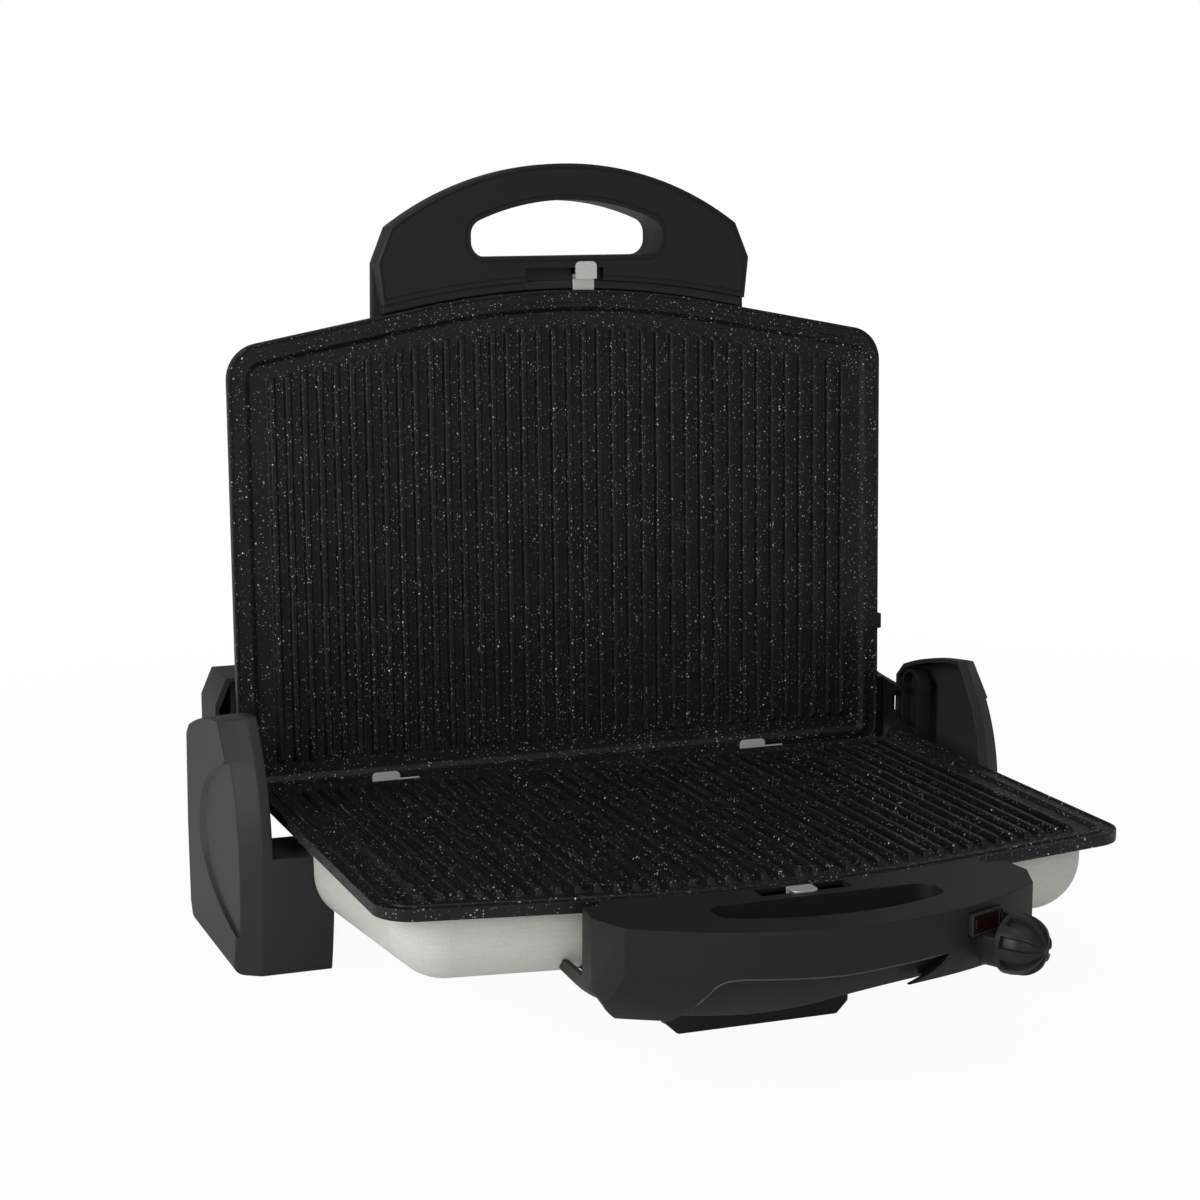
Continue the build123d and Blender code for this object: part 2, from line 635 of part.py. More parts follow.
def on_arc(shape, angle, z):
    """Move a piece whose face looks along -Y at the origin onto the grip's arc."""
    return Pos(0, GRIP_ARC_Y, z) * Rot(0, 0, angle) * Pos(0, -GRIP_ARC_R, 0) * shape


def arc_rod(radius, y0, y1):
    """A round bar along y, before it is moved onto the arc."""
    return Pos(0, (y0 + y1) / 2, 0) * Rot(90, 0, 0) * Cylinder(radius, y1 - y0)


def lamp_block(margin, y0, y1):
    """A rectangular block of the lamp's size, before it is moved onto the arc."""
    return box(-LAMP_W / 2 - margin, LAMP_W / 2 + margin, y0, y1, -LAMP_H / 2 - margin, LAMP_H / 2 + margin)


BELLY_END_X = 18.0        # from here the belly turns in behind the S-shaped line's right end
BELLY_END_R = 25.0
BELLY_END_LEAN = 27.0
RETURN_W = 2.5            # the shell's wall returns inwards along the S-shaped line
RETURN_DEPTH = 20.0


def belly(inset):
    """The tray's form: the belly, turned in at its right end."""
    place = Pos(BELLY_END_X, GRIP_APEX_Y + BELLY_STEP + BELLY_END_R, 1.5 * PANEL_TURN_Z * 2)
    end = place * Rot(BELLY_END_LEAN, 0, 0) * Cylinder(BELLY_END_R - inset, 2 * BELLY_END_R * 2)
    return belly_front(inset) & (end + box(-FAR, BELLY_END_X, -FAR, FAR, -FAR, FAR))


def panel_return():
    """The shell's return wall behind the S-shaped line."""
    band = Pos(RETURN_W, 0, 0) * scoop(0) + Pos(0, 0, RETURN_W) * scoop(0) + Pos(RETURN_W, 0, RETURN_W) * scoop(0)
    band &= box(0, FAR, -FAR, GRIP_APEX_Y + RETURN_DEPTH, -FAR, FAR)
    return band & panel_outer(0) & under_line(PANEL_WALL + TRAY_GAP)


def panel_shell():
    """Upper moulding of the control panel."""
    form = (panel_outer(0) & under_line(0) & rear_rise(0)) - end_cut()
    shell = form - (panel_outer(PANEL_WALL) & box(-FAR, FAR, -FAR, FAR, -FAR, GRIP_TOP - PANEL_WALL))
    shell += panel_return()
    shell -= scoop(0) + Pos(TRAY_GAP, 0, TRAY_GAP) * scoop(0)
    well = extrude(Pos(0, 0, GRIP_TOP - FINGER_DEPTH - PANEL_WALL) * slot_plan(PANEL_WALL), FINGER_DEPTH)
    pocket_z = GRIP_TOP - POCKET_DEPTH - POCKET_FLOOR_T
    pocket_floor = box(POCKET_X0 - PANEL_WALL, POCKET_X1 + PANEL_WALL, POCKET_Y - PANEL_WALL,
                       FRONT_Y - PLATE_CLEAR, pocket_z, GRIP_TOP - PANEL_WALL)
    shell += well + pocket_floor
    shell -= extrude(Pos(0, 0, GRIP_TOP - FINGER_DEPTH) * slot_plan(0), FAR)
    shell -= latch_pocket(LOWER_LATCH_X)
    shell -= slab(-PLATE_CLEAR, -PLATE_SKIRT - PLATE_CLEAR, FAR)
    collar = on_arc(arc_rod(COLLAR_R, -COLLAR_L, PANEL_WALL * 2), KNOB_ANGLE, KNOB_Z)
    shell += collar
    shell -= on_arc(arc_rod(SPINDLE_R + SLIDE_GAP, -FAR / 2, GRIP_ARC_R / 2), KNOB_ANGLE, KNOB_Z)
    shell -= on_arc(lamp_block(LAMP_GAP, -LAMP_W, LAMP_W), LAMP_ANGLE, LAMP_Z)
    return shell - BOWL


def panel_tray():
    """Lower moulding: the recessed belly below the S-shaped line and the floor under the panel."""
    wall = (panel_outer(0) & belly(0) & scoop(0) & under_line(0)) - belly(PANEL_WALL)
    floor = panel_outer(PANEL_WALL + TRAY_GAP) & under_line(0) & rear_rise(0)
    floor -= under_line(PANEL_WALL) & rear_rise(PANEL_WALL)
    floor &= belly_front(0) + box(-FAR, FAR, GRIP_SIDE_Y, FAR, -FAR, FAR)
    floor &= box(-PANEL_END_X, PANEL_END_X, -FAR, FAR, -FAR, FAR)
    return wall + floor - BOWL


def thermostat():
    """Thermostat behind the panel, with the spindle that carries the knob."""
    half = THERMOSTAT_HALF_W
    case = box(-half, half, THERMOSTAT_Y0, THERMOSTAT_Y1, THERMOSTAT_LOW, THERMOSTAT_HIGH)
    spindle = arc_rod(SPINDLE_R, -COLLAR_L - KNOB_L / 2, THERMOSTAT_Y0)
    return on_arc(case + spindle, KNOB_ANGLE, KNOB_Z)


def knob():
    """Domed knob with a rim at its foot, fluted towards the tip and bored for the spindle."""
    back = -COLLAR_L - KNOB_FACE_GAP
    end = back - KNOB_L
    shoulder = back - KNOB_RIM
    with BuildSketch() as sketch:
        with BuildLine():
            Polyline((0, back), (KNOB_R, back), (KNOB_R, shoulder))
            ThreePointArc((KNOB_R, shoulder), (KNOB_R * 0.86, (shoulder + end) / 2), (KNOB_TIP_R, end))
            Polyline((KNOB_TIP_R, end), (0, end), (0, back))
        make_face()
    body = revolve(sketch.sketch, Axis.Y, 360)
    start = shoulder - KNOB_GROOVE_IN
    side = [(KNOB_R - KNOB_GROOVE_D, start), (2 * KNOB_R, start), (2 * KNOB_R, end - KNOB_RIM),
            (KNOB_TIP_R - KNOB_GROOVE_D, end - KNOB_RIM)]
    groove = extrude(make_face(Polyline(*side, close=True)), KNOB_GROOVE_W / 2, both=True)
    for i in range(KNOB_GRIPS):
        body -= Rot(0, 360 / KNOB_GRIPS * i, 0) * groove
    body -= arc_rod(SPINDLE_R + SPINDLE_GAP, back - KNOB_L / 2 - KNOB_RIM, back + KNOB_RIM)
    return on_arc(body, KNOB_ANGLE, KNOB_Z)


def lamp_bezel():
    """Frame round the pilot lamp."""
    frame = lamp_block(0, -LAMP_PROUD, PANEL_WALL * 3) - lamp_block(-LAMP_RIM, -LAMP_W, LAMP_W)
    return on_arc(frame, LAMP_ANGLE, LAMP_Z)


def lamp_lens():
    """Dark red lens in the frame."""
    return on_arc(lamp_block(-LAMP_RIM - LAMP_GAP, -LAMP_PROUD / 2, PANEL_WALL), LAMP_ANGLE, LAMP_Z)


def lamp_bulb():
    """Small glow tube behind the lens."""
    bulb = Rot(0, 90, 0) * Cylinder(LAMP_RIM, LAMP_W / 2)
    return on_arc(Pos(0, PANEL_WALL + LAMP_RIM + LAMP_GAP, 0) * bulb, LAMP_ANGLE, LAMP_Z)


# ---- heat -----------------------------------------------------------------------------------------
def reflector():
    """Bright tray under the heater, on four posts."""
    z0 = -REFLECTOR_DROP
    tray = slab(REFLECTOR_INSET, z0, z0 + REFLECTOR_RIM)
    tray -= slab(REFLECTOR_INSET + REFLECTOR_T, z0 + REFLECTOR_T, FAR)
    inside = bowl(SHEET)
    for x in (-1, 1):
        for y in (FRONT_Y + POST_IN, PLATE_REAR - POST_IN):
            post = Pos(x * PLATE_W / 3, y, z0 - BOWL_DEPTH / 2) * Cylinder(POST_R, BOWL_DEPTH)
            tray += post & inside
    return tray


def heater():
    """Tubular element: two long loops just under the plate, its ends turned down to the tray."""
    x0 = PLATE_W / 2 - HEATER_INSET
    y0 = FRONT_Y + HEATER_INSET
    y1 = PLATE_REAR - HEATER_INSET
    z = -PLATE_SKIRT - HEATER_R - HEATER_GAP
    end_z = -REFLECTOR_DROP + REFLECTOR_T
    mid = x0 / 3
    path = FilletPolyline((-mid, y1, end_z), (-mid, y1, z), (-mid, y0 + HEATER_BACK, z), (-x0, y0 + HEATER_BACK, z),
                          (-x0, y1 + 5, z), (x0, y1 + 5, z), (x0, y0, z), (mid, y0, z), (mid, y1, z),
                          (mid, y1, end_z), radius=[7, 20, 20, 20, 20, 20, 20, 7])
    tube = sweep(Plane(path @ 0, z_dir=path % 0) * Circle(HEATER_R), path=path)
    return tube


# ---- columns --------------------------------------------------------------------------------------
def column_outline(x, inset, points):
    """A column's side outline at x from its (y, z) points: two front arcs, a corner, the top, the back."""
    p = points
    with BuildSketch(Plane.YZ.offset(x)) as sketch:
        with BuildLine():
            ThreePointArc(p[0], p[1], p[2])
            ThreePointArc(p[2], p[3], p[4])
            Line(p[4], p[5])
            ThreePointArc(p[5], p[6], p[7])
            Polyline(*p[7:], p[0])
        make_face()
        if inset:
            offset(amount=-inset, kind=Kind.INTERSECTION, mode=Mode.REPLACE)
    return sketch.sketch.face()


OUTER_POINTS = [(-42, BASE_LIFT), (-48.5, 25), (-50, 55), (-45.5, 83), (-34, 105.5), (-18, 122), (17, 116.5),
                (50, 106.5), (56, 101), (58, 52), (56, 11), (50, BASE_LIFT)]
INNER_POINTS = [(-50, BASE_LIFT), (-56, 31), (-58, 62), (-53.5, 88.5), (-45.5, 106), (-31, 125.8), (2, 121),
                (32, 112.5), (40.5, 105), (42, 52), (40, 11), (34, BASE_LIFT)]


def column_solid(inset, x1):
    """The column out to x1: straight near the middle, then front and top sweep back."""
    straight = extrude(column_outline(COLUMN_IN_X, inset, INNER_POINTS), COLUMN_FLAT, dir=(1, 0, 0))
    inner = column_outline(COLUMN_BEND_X, inset, INNER_POINTS)
    outer = column_outline(x1, inset, OUTER_POINTS)
    return straight + loft([inner, outer], ruled=True)


RECESS_EDGE = [(-62, 112.5), (-30, 103.5), (-4.6, 94.7), (12.5, 85.6), (23.1, 75.4), (27.9, 65.3), (28.2, 53.1),
               (18.8, 42.7), (2.7, 33.7), (-19, 26.9), (-62, 19)]
RECESS_FLOOR = [(-62, 111.5), (-29.5, 102.6), (-5.5, 92.6), (8.5, 84), (15.5, 75.3), (18.2, 66), (17.5, 54.5),
                (11.2, 43.2), (-1, 34.4), (-21, 26.6), (-62, 17.8)]


def side_recess():
    """The hollow in the column's outer face, open at the front, with a sloped step behind."""
    flats = []
    for x, points in ((COLUMN_OUT_X - RECESS_DEPTH, RECESS_FLOOR), (COLUMN_OUT_X, RECESS_EDGE)):
        with BuildSketch(Plane.YZ.offset(x)) as sketch:
            with BuildLine():
                Spline(*points)
                Line(points[-1], points[0])
            make_face()
        flats.append(sketch.sketch.face())
    return loft(flats, ruled=True)


def outer_round():
    """The space above the column's rounded outer bottom edge."""
    x0 = COLUMN_OUT_X - COLUMN_ROUND
    z0 = BASE_LIFT + COLUMN_ROUND
    with BuildSketch(Plane.XZ) as sketch:
        with BuildLine():
            RadiusArc((x0, BASE_LIFT), (COLUMN_OUT_X, z0), -COLUMN_ROUND)
            Polyline((COLUMN_OUT_X, z0), (COLUMN_OUT_X, FAR), (0, FAR), (0, BASE_LIFT), (x0, BASE_LIFT))
        make_face()
    return extrude(sketch.sketch, FAR, both=True)


def foot_solid(inset):
    """The foot that reaches in under the housing, flush with the column's front: high there, low behind."""
    x0 = FOOT_IN_X + inset
    front = extrude(column_outline(x0, inset, INNER_POINTS), COLUMN_IN_X + COLUMN_WALL - x0, dir=(1, 0, 0))
    high = box(0, FAR, -FAR, FOOT_HIGH_BACK_Y - inset, BASE_LIFT, LEDGE_Z - inset)
    low = box(0, COLUMN_IN_X, -FAR, FOOT_REAR_Y - inset, BASE_LIFT, FOOT_LOW_Z - inset)
    return front & (high + low)


def foot_pad_spots():
    """Where the round pads sit under a column."""
    x = (FOOT_IN_X + COLUMN_IN_X) / 2
    return [(x, FOOT_PAD_Y), (x, FOOT_REAR_Y - 2 * PAD_R)]


def foot_screw_spot():
    """Where the screw goes up through the foot."""
    return (FOOT_IN_X + COLUMN_IN_X) / 2, FOOT_SCREW_Y


def column():
    """Right column and foot: a hollow moulding, the column open towards the middle."""
    form = column_solid(0, COLUMN_OUT_X) & outer_round()
    shell = form - column_solid(COLUMN_WALL, COLUMN_OUT_X - COLUMN_WALL - RECESS_DEPTH) - side_recess()
    foot = foot_solid(0) - to_base(BOWL)
    hollow = foot_solid(COLUMN_WALL) & box(-FAR, COLUMN_IN_X - COLUMN_WALL, -FAR, FAR, GUIDE_FOOT, FAR)
    foot -= hollow - to_base(bowl(-COLUMN_WALL))
    floor = form & box(0, FAR, -FAR, FAR, BASE_LIFT, GUIDE_FOOT)
    web = extrude(column_outline(COLUMN_IN_X - COLUMN_WALL, 0, INNER_POINTS), COLUMN_WALL, dir=(1, 0, 0))
    web &= box(0, FAR, -FAR, FOOT_HIGH_BACK_Y, 0, LEDGE_Z) + box(0, FAR, -FAR, FAR, 0, FOOT_LOW_Z)
    body = shell + foot + floor + web
    for x, y in foot_pad_spots():
        body -= Pos(x, y, PAD_T / 2) * Cylinder(PAD_R, PAD_T)
    x, y = foot_screw_spot()
    return body - Pos(x, y, BASE_LIFT + SCREW_T / 2) * Cylinder(SCREW_R + SCREW_GAP, SCREW_T)


def upright(half_w, z0, z1, x0, x1):
    """A bar with a rounded top about the hinge line, from its half width and its ends."""
    block = box(x0, x1, HINGE_Y - half_w, HINGE_Y + half_w, z0, z1 - half_w)
    return block + rod_x(HINGE_Y, z1 - half_w, half_w, x0, x1)


def guide():
    """Upright channel in the right column that its carrier slides in, on two bosses."""
    half = CARRIER_W / 2 + SLIDE_GAP
    x0 = COLUMN_IN_X
    x1 = COLUMN_IN_X + GUIDE_DEPTH
    outer = upright(half + GUIDE_WALL, GUIDE_FOOT, GUIDE_TOP, x0, x1)
    inner = upright(half, CARRIER_BOTTOM - SLIDE_GAP, GUIDE_TOP - GUIDE_WALL, x0, x1 - GUIDE_WALL)
    wall_x = COLUMN_OUT_X - COLUMN_WALL - RECESS_DEPTH
    for z in (CARRIER_BOTTOM, GUIDE_TOP - 3 * GUIDE_BOSS_R):
        outer += rod_x(HINGE_Y, z, GUIDE_BOSS_R, x1, wall_x)
    return outer - inner


CARRIER_X0 = ARM_OUT_X + CARRIER_GAP
CARRIER_X1 = COLUMN_IN_X + GUIDE_DEPTH - GUIDE_WALL - SLIDE_GAP


def carrier():
    """Slider that carries the lid's hinge pin on the right."""
    half = CARRIER_W / 2
    block = box(CARRIER_X0, CARRIER_X1, HINGE_Y - half, HINGE_Y + half, CARRIER_BOTTOM, CARRIER_TOP)
    block = chamfer(block.edges().filter_by(Axis.X), RIM_H)
    return block - rod_x(HINGE_Y, HINGE_Z, PIN_R, CARRIER_X0, CARRIER_X1)


def hinge_pin():
    """Headed steel pin through the right arm into the carrier."""
    x0 = ARM_X - PIN_GAP * 2
    shaft = rod_x(HINGE_Y, HINGE_Z, PIN_R, x0, CARRIER_X1)
    return shaft + rod_x(HINGE_Y, HINGE_Z, PIN_HEAD_R, x0 - PIN_HEAD_T, x0)


# ---- lid arms -------------------------------------------------------------------------------------
ARM_POINTS = [(7.5, 66), (12.2, 75.2), (19.8, 78.5), (33.7, 83.5), (38.4, 85), (38.4, 92.6), (32.8, 95.7),
              (32.8, 97.8), (25, 97.8), (25, 99.8), (57.6, 102.5), (94, 108), (94, 90), (66, 74), (38, 48)]


def arm():
    """Right lid arm, with the lid open: hub, thin neck with its stop, and the end inside the cover."""
    neck = prism_x(ARM_POINTS, ARM_PLATE_X, ARM_OUT_X) & box(0, FAR, -FAR, EAR_Y0 - CARRIER_GAP, -FAR, FAR)
    end = prism_x(ARM_POINTS, ARM_X, ARM_X + ARM_T) & box(0, FAR, ARM_INNER_Y, FAR, -FAR, FAR)
    hub = rod_x(HINGE_Y, HINGE_Z, HUB_R, ARM_X, ARM_OUT_X)
    return neck + end + hub - rod_x(HINGE_Y, HINGE_Z, PIN_R + PIN_GAP, 0, FAR)


def ear():
    """Cover over the right arm's end behind the lid: open in front, with an inner rib."""
    x1 = ARM_OUT_X
    outer = box(EAR_INNER_X, x1, EAR_Y0, EAR_Y1, EAR_Z0, EAR_Z1)
    corner = [(x1 - EAR_CHAMFER_X, EAR_Z1), (x1, EAR_Z1 - EAR_CHAMFER_Z), (x1, EAR_Z1)]
    outer -= extrude(make_face(Polyline(*[(x, EAR_Y0, z) for x, z in corner], close=True)),
                     EAR_Y1 - EAR_Y0, dir=(0, 1, 0))
    inner_x0 = PLATE_W / 2 - BOWL_INSET + EAR_WALL
    inner = box(inner_x0, x1 - EAR_WALL, EAR_Y0, EAR_Y1 - EAR_WALL, EAR_Z0 + EAR_WALL, EAR_Z1 - EAR_WALL)
    rib_x = PLATE_W / 2 - EAR_RIB_IN
    inner -= box(rib_x, rib_x + EAR_WALL, EAR_Y0 + EAR_WALL, EAR_Y1, EAR_Z0, EAR_Z1)
    keep = extrude(make_face(Polyline(*[(x - EAR_WALL, EAR_Y0, z - EAR_WALL) for x, z in
                                        [(0, EAR_Z0), (x1, EAR_Z0), (x1, EAR_Z1 - EAR_CHAMFER_Z),
                                         (x1 - EAR_CHAMFER_X, EAR_Z1), (0, EAR_Z1)]], close=True)),
                   EAR_Y1 - EAR_Y0, dir=(0, 1, 0))
    return outer - (inner & keep) - to_lid(BOWL)


# ---- feet, gland, terminals, screws ---------------------------------------------------------------
def pads(spots):
    """Rubber pads that the object stands on."""
    return group([Pos(x, y, PAD_T / 2) * Cylinder(PAD_R, PAD_T) for x, y in spots])


def front_foot_spots():
    """Where the two pads sit under the front foot."""
    y = FRONT_FOOT_Y + FRONT_FOOT_LENGTH / 2
    return [(s * (FRONT_FOOT_HALF_W - 2 * PAD_R), y) for s in (-1, 1)]


def front_foot():
    """Block under the front of the housing."""
    y1 = FRONT_FOOT_Y + FRONT_FOOT_LENGTH
    points = [(FRONT_FOOT_Y, BASE_LIFT), (y1, BASE_LIFT), (y1, FLOOR_Z - BOWL_FRONT_DEPTH / 2),
              (FRONT_FOOT_Y, FLOOR_Z - BOWL_FRONT_DEPTH / 2)]
    block = prism_x(points, -FRONT_FOOT_HALF_W, FRONT_FOOT_HALF_W)
    low = block.edges().group_by(Axis.Z)[0].filter_by(Axis.Y)
    block = chamfer(low, FRONT_FOOT_CHAMFER)
    for x, y in front_foot_spots():
        block -= Pos(x, y, PAD_T / 2) * Cylinder(PAD_R, PAD_T)
    return block - to_base(BOWL)


def inlet_rod(radius, y0):
    """A round bar along the cord inlet's axis, from y0 to the gland's rear face."""
    y1 = PLATE_REAR - BOWL_INSET + GLAND_L
    return Pos(-GLAND_X, (y0 + y1) / 2, GLAND_Z) * Rot(90, 0, 0) * Cylinder(radius, y1 - y0)


def gland():
    """Cord gland on the housing's rear wall."""
    y0 = PLATE_REAR - BOWL_INSET - HOOK_ROOT
    return inlet_rod(GLAND_R, y0) - inlet_rod(GLAND_BORE_R, y0) - BOWL


def terminal_block():
    """Terminal block on the housing's floor near the gland."""
    length, depth, height = BLOCK_SIZE
    y = PLATE_REAR - BLOCK_IN - depth
    place = Pos(-GLAND_X, y, bowl_floor(y + depth) + height / 2)
    return place * Box(length, depth, height) & bowl(SHEET)


def screw(z_sign):
    """A slotted pan head, its seat at z = 0."""
    head = Pos(0, 0, z_sign * SCREW_T / 2) * Cylinder(SCREW_R, SCREW_T)
    return head - Pos(0, 0, z_sign * SCREW_T) * Box(2 * SCREW_R, SCREW_SLOT, SCREW_SLOT)


def handle_screws():
    """Screws in the handle's rear face."""
    z = GRIP_TOP - HANDLE_T
    spots = [(s * GRIP_BEVEL_X * 0.85, GRIP_SIDE_Y - SCREW_R) for s in (-1, 1)]
    return group([Pos(x, y, z) * screw(-1) for x, y in spots])


def base_screws():
    """Screws up through the feet."""
    x, y = foot_screw_spot()
    return group([Pos(s * x, y, BASE_LIFT + SCREW_T) * screw(-1) for s in (-1, 1)])


# ---- the object -----------------------------------------------------------------------------------
def build():
    """Every piece by name, in the work frame."""
    tub = housing()
    tray = reflector()
    element = heater()
    pieces = {
        "lower_housing": to_base(tub - inlet_rod(GLAND_BORE_R, -BLOCK_IN)),
        "lower_plate": to_base(lower_plate()), "lower_plate_hooks": to_base(lower_hooks()),
        "lower_latch": to_base(latch(LOWER_LATCH_X)),
        "lower_reflector": to_base(tray), "lower_heater": to_base(element),
        "upper_housing": to_lid(tub),
        "upper_plate": to_lid(upper_plate()), "upper_plate_hooks": to_lid(hooks()),
        "upper_latch": to_lid(latch(UPPER_LATCH_X)),
        "upper_reflector": to_lid(tray), "upper_heater": to_lid(element),
        "handle_front": to_lid(handle_front()), "handle_rear": to_lid(handle_rear()),
        "handle_screws": to_lid(handle_screws()),
        "panel_shell": to_base(panel_shell()), "panel_tray": to_base(panel_tray()),
        "thermostat": to_base(thermostat()), "thermostat_knob": to_base(knob()),
        "lamp_bezel": to_base(lamp_bezel()), "lamp_lens": to_base(lamp_lens()), "lamp_bulb": to_base(lamp_bulb()),
        "cord_gland": to_base(gland()), "terminal_block": to_base(terminal_block()),
        "front_foot": front_foot(), "front_foot_pads": pads(front_foot_spots()), "base_screws": base_screws(),
    }
    for name, make in (("column", column), ("guide", guide), ("carrier", carrier), ("hinge_pin", hinge_pin),
                       ("lid_arm", arm), ("arm_cover", ear)):
        right = make()
        pieces[name + "_right"] = right
        pieces[name + "_left"] = mirrored(right)
    pieces["arm_cover_left"] -= to_lid(BOWL)
    pieces["column_left"] -= to_base(BOWL)
    for side, sign in (("right", 1), ("left", -1)):
        pieces["foot_pads_" + side] = pads([(sign * x, y) for x, y in foot_pad_spots()])
    return pieces


PIECES = build()
BOUNDS = group(PIECES.values()).bounding_box()
SHIFT = Pos(0, -(BOUNDS.min.Y + BOUNDS.max.Y) / 2, 0)
os.makedirs("parts", exist_ok=True)
for name, piece in PIECES.items():
    moved = group([SHIFT * piece])
    export_step(moved, f"parts/{name}.step")
print("pieces", len(PIECES), "size", [round(v, 1) for v in BOUNDS.size], "centre y", round(-SHIFT.position.Y, 3))
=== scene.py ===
# %% [markdown]
# # An electric contact grill with its lid open
#
# The measured model of the grill is already made: every plate, housing, column and latch has its
# place, in metres, with the table at z = 0. Here the pieces get their looks. We round the edges that
# catch the light, model the small things that people look at closely, and mix the finishes: speckled
# non-stick coating, warm grey enamel, grained dark plastics and bright sheet steel.

# %% Loading the measured model
import json
import math

import bmesh
import bpy
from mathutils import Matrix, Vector


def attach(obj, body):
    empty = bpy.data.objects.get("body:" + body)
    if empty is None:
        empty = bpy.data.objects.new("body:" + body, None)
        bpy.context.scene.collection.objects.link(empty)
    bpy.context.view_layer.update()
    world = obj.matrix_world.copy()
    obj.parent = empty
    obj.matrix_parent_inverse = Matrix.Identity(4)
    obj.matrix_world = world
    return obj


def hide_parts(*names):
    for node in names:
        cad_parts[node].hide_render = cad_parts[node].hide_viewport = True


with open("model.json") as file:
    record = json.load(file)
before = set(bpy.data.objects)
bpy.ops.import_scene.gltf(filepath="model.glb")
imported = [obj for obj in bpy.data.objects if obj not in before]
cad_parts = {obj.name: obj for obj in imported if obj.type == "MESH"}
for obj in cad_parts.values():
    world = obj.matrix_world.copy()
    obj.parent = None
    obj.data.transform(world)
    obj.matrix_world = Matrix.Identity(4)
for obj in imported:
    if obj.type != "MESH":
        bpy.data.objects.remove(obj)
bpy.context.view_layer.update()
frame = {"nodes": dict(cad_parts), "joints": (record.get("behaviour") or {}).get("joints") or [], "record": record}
MM = 0.001
HINGE = Vector(next(j["pos_m"] for j in frame["joints"] if j["name"] == "lid_hinge"))

# %% [markdown]
# ## The camera
#
# The picture was taken from a little left of the middle, with the lens about ten degrees above the
# plates. A long lens keeps the columns upright. We place the camera by its distance from the hinge
# line, so it stays right if the model's origin moves.

# %% The camera
CAMERA_FROM_HINGE = Vector((-0.4750, -1.2578, 0.4005))
CAMERA_VIEW = Vector((0.3522, 0.9195, -0.1744))
SENSOR_MM = 36.0
LENS_MM = 77.44

camera_data = bpy.data.cameras.new("camera")
camera_data.sensor_width = SENSOR_MM
camera_data.lens = LENS_MM
camera_data.clip_start = 0.05
camera = bpy.data.objects.new("camera", camera_data)
camera.location = Vector((0, HINGE.y, 0)) + CAMERA_FROM_HINGE
camera.rotation_euler = CAMERA_VIEW.to_track_quat("-Z", "Y").to_euler()
bpy.context.scene.collection.objects.link(camera)
bpy.context.scene.camera = camera
bpy.context.scene.view_settings.view_transform = "Standard"
print("camera at", [round(v, 3) for v in camera.location])

# %% [markdown]
# ## Helpers for materials
#
# A finish is a small tree of shader nodes. These helpers keep the trees short: one adds a node and
# sets its sockets, the other starts a material with its Principled shader and a coordinate source.
# We always read Object coordinates, so a grain keeps its real size on every piece.

# %% Helpers for materials
def add_node(tree, kind, values=None, links=None, **settings):
    """A shader node with its settings, socket values and incoming links."""
    node = tree.nodes.new(kind)
    for key, value in settings.items():
        setattr(node, key, value)
    for key, value in (values or {}).items():
        node.inputs[key].default_value = value
    for key, source in (links or {}).items():
        tree.links.new(source, node.inputs[key])
    return node


def new_finish(name, **values):
    """A material with a Principled shader; returns material, tree, shader and object coordinates."""
    material = bpy.data.materials.new(name)
    material.use_nodes = True
    tree = material.node_tree
    shader = tree.nodes["Principled BSDF"]
    for key, value in values.items():
        shader.inputs[key.replace("_", " ")].default_value = value
    place = tree.nodes.new("ShaderNodeTexCoord").outputs["Object"]
    material.diffuse_color = shader.inputs["Base Color"].default_value[:]
    return material, tree, shader, place


def noise(tree, place, scale, detail=2.0, stretch=None):
    """Noise at a real scale, in bumps per metre, stretched along the axes if asked."""
    if stretch:
        place = add_node(tree, "ShaderNodeMapping", {"Scale": stretch}, {"Vector": place}).outputs["Vector"]
    texture = add_node(tree, "ShaderNodeTexNoise", {"Scale": scale, "Detail": detail}, {"Vector": place})
    return texture.outputs["Fac"]


def ramp(tree, source, *stops):
    """A colour ramp from (position, grey or colour) stops."""
    node = add_node(tree, "ShaderNodeValToRGB", links={"Fac": source})
    elements = node.color_ramp.elements
    while len(elements) < len(stops):
        elements.new(0.5)
    for element, (position, colour) in zip(elements, stops):
        element.position = position
        element.color = (colour, colour, colour, 1) if isinstance(colour, float) else (*colour, 1)
    return node.outputs["Color"]


def mix(tree, factor, first, second, blend="MIX"):
    """Mix two colours; each may be a socket or a colour."""
    node = add_node(tree, "ShaderNodeMix", data_type="RGBA", blend_type=blend)
    for socket, value in ((node.inputs[0], factor), (node.inputs[6], first), (node.inputs[7], second)):
        if isinstance(value, bpy.types.NodeSocket):
            tree.links.new(value, socket)
        else:
            socket.default_value = value if isinstance(value, float) else (*value, 1)
    return node.outputs[2]


def bump(tree, shader, height, depth, strength):
    """Bump of a real depth, in metres, from a height socket."""
    node = add_node(tree, "ShaderNodeBump", {"Strength": strength, "Distance": depth}, {"Height": height})
    tree.links.new(node.outputs["Normal"], shader.inputs["Normal"])


def math_node(tree, operation, first, second):
    """A math node's output; each operand may be a socket or a number."""
    node = add_node(tree, "ShaderNodeMath", operation=operation)
    for socket, value in zip(node.inputs, (first, second)):
        if isinstance(value, bpy.types.NodeSocket):
            tree.links.new(value, socket)
        else:
            socket.default_value = value
    return node.outputs["Value"]


def shader_mix(tree, factor, first, second):
    """The shader output of a mix of two shaders."""
    node = add_node(tree, "ShaderNodeMixShader", links={0: factor})
    tree.links.new(first, node.inputs[1])
    tree.links.new(second, node.inputs[2])
    return node.outputs["Shader"]


print("material helpers ready")

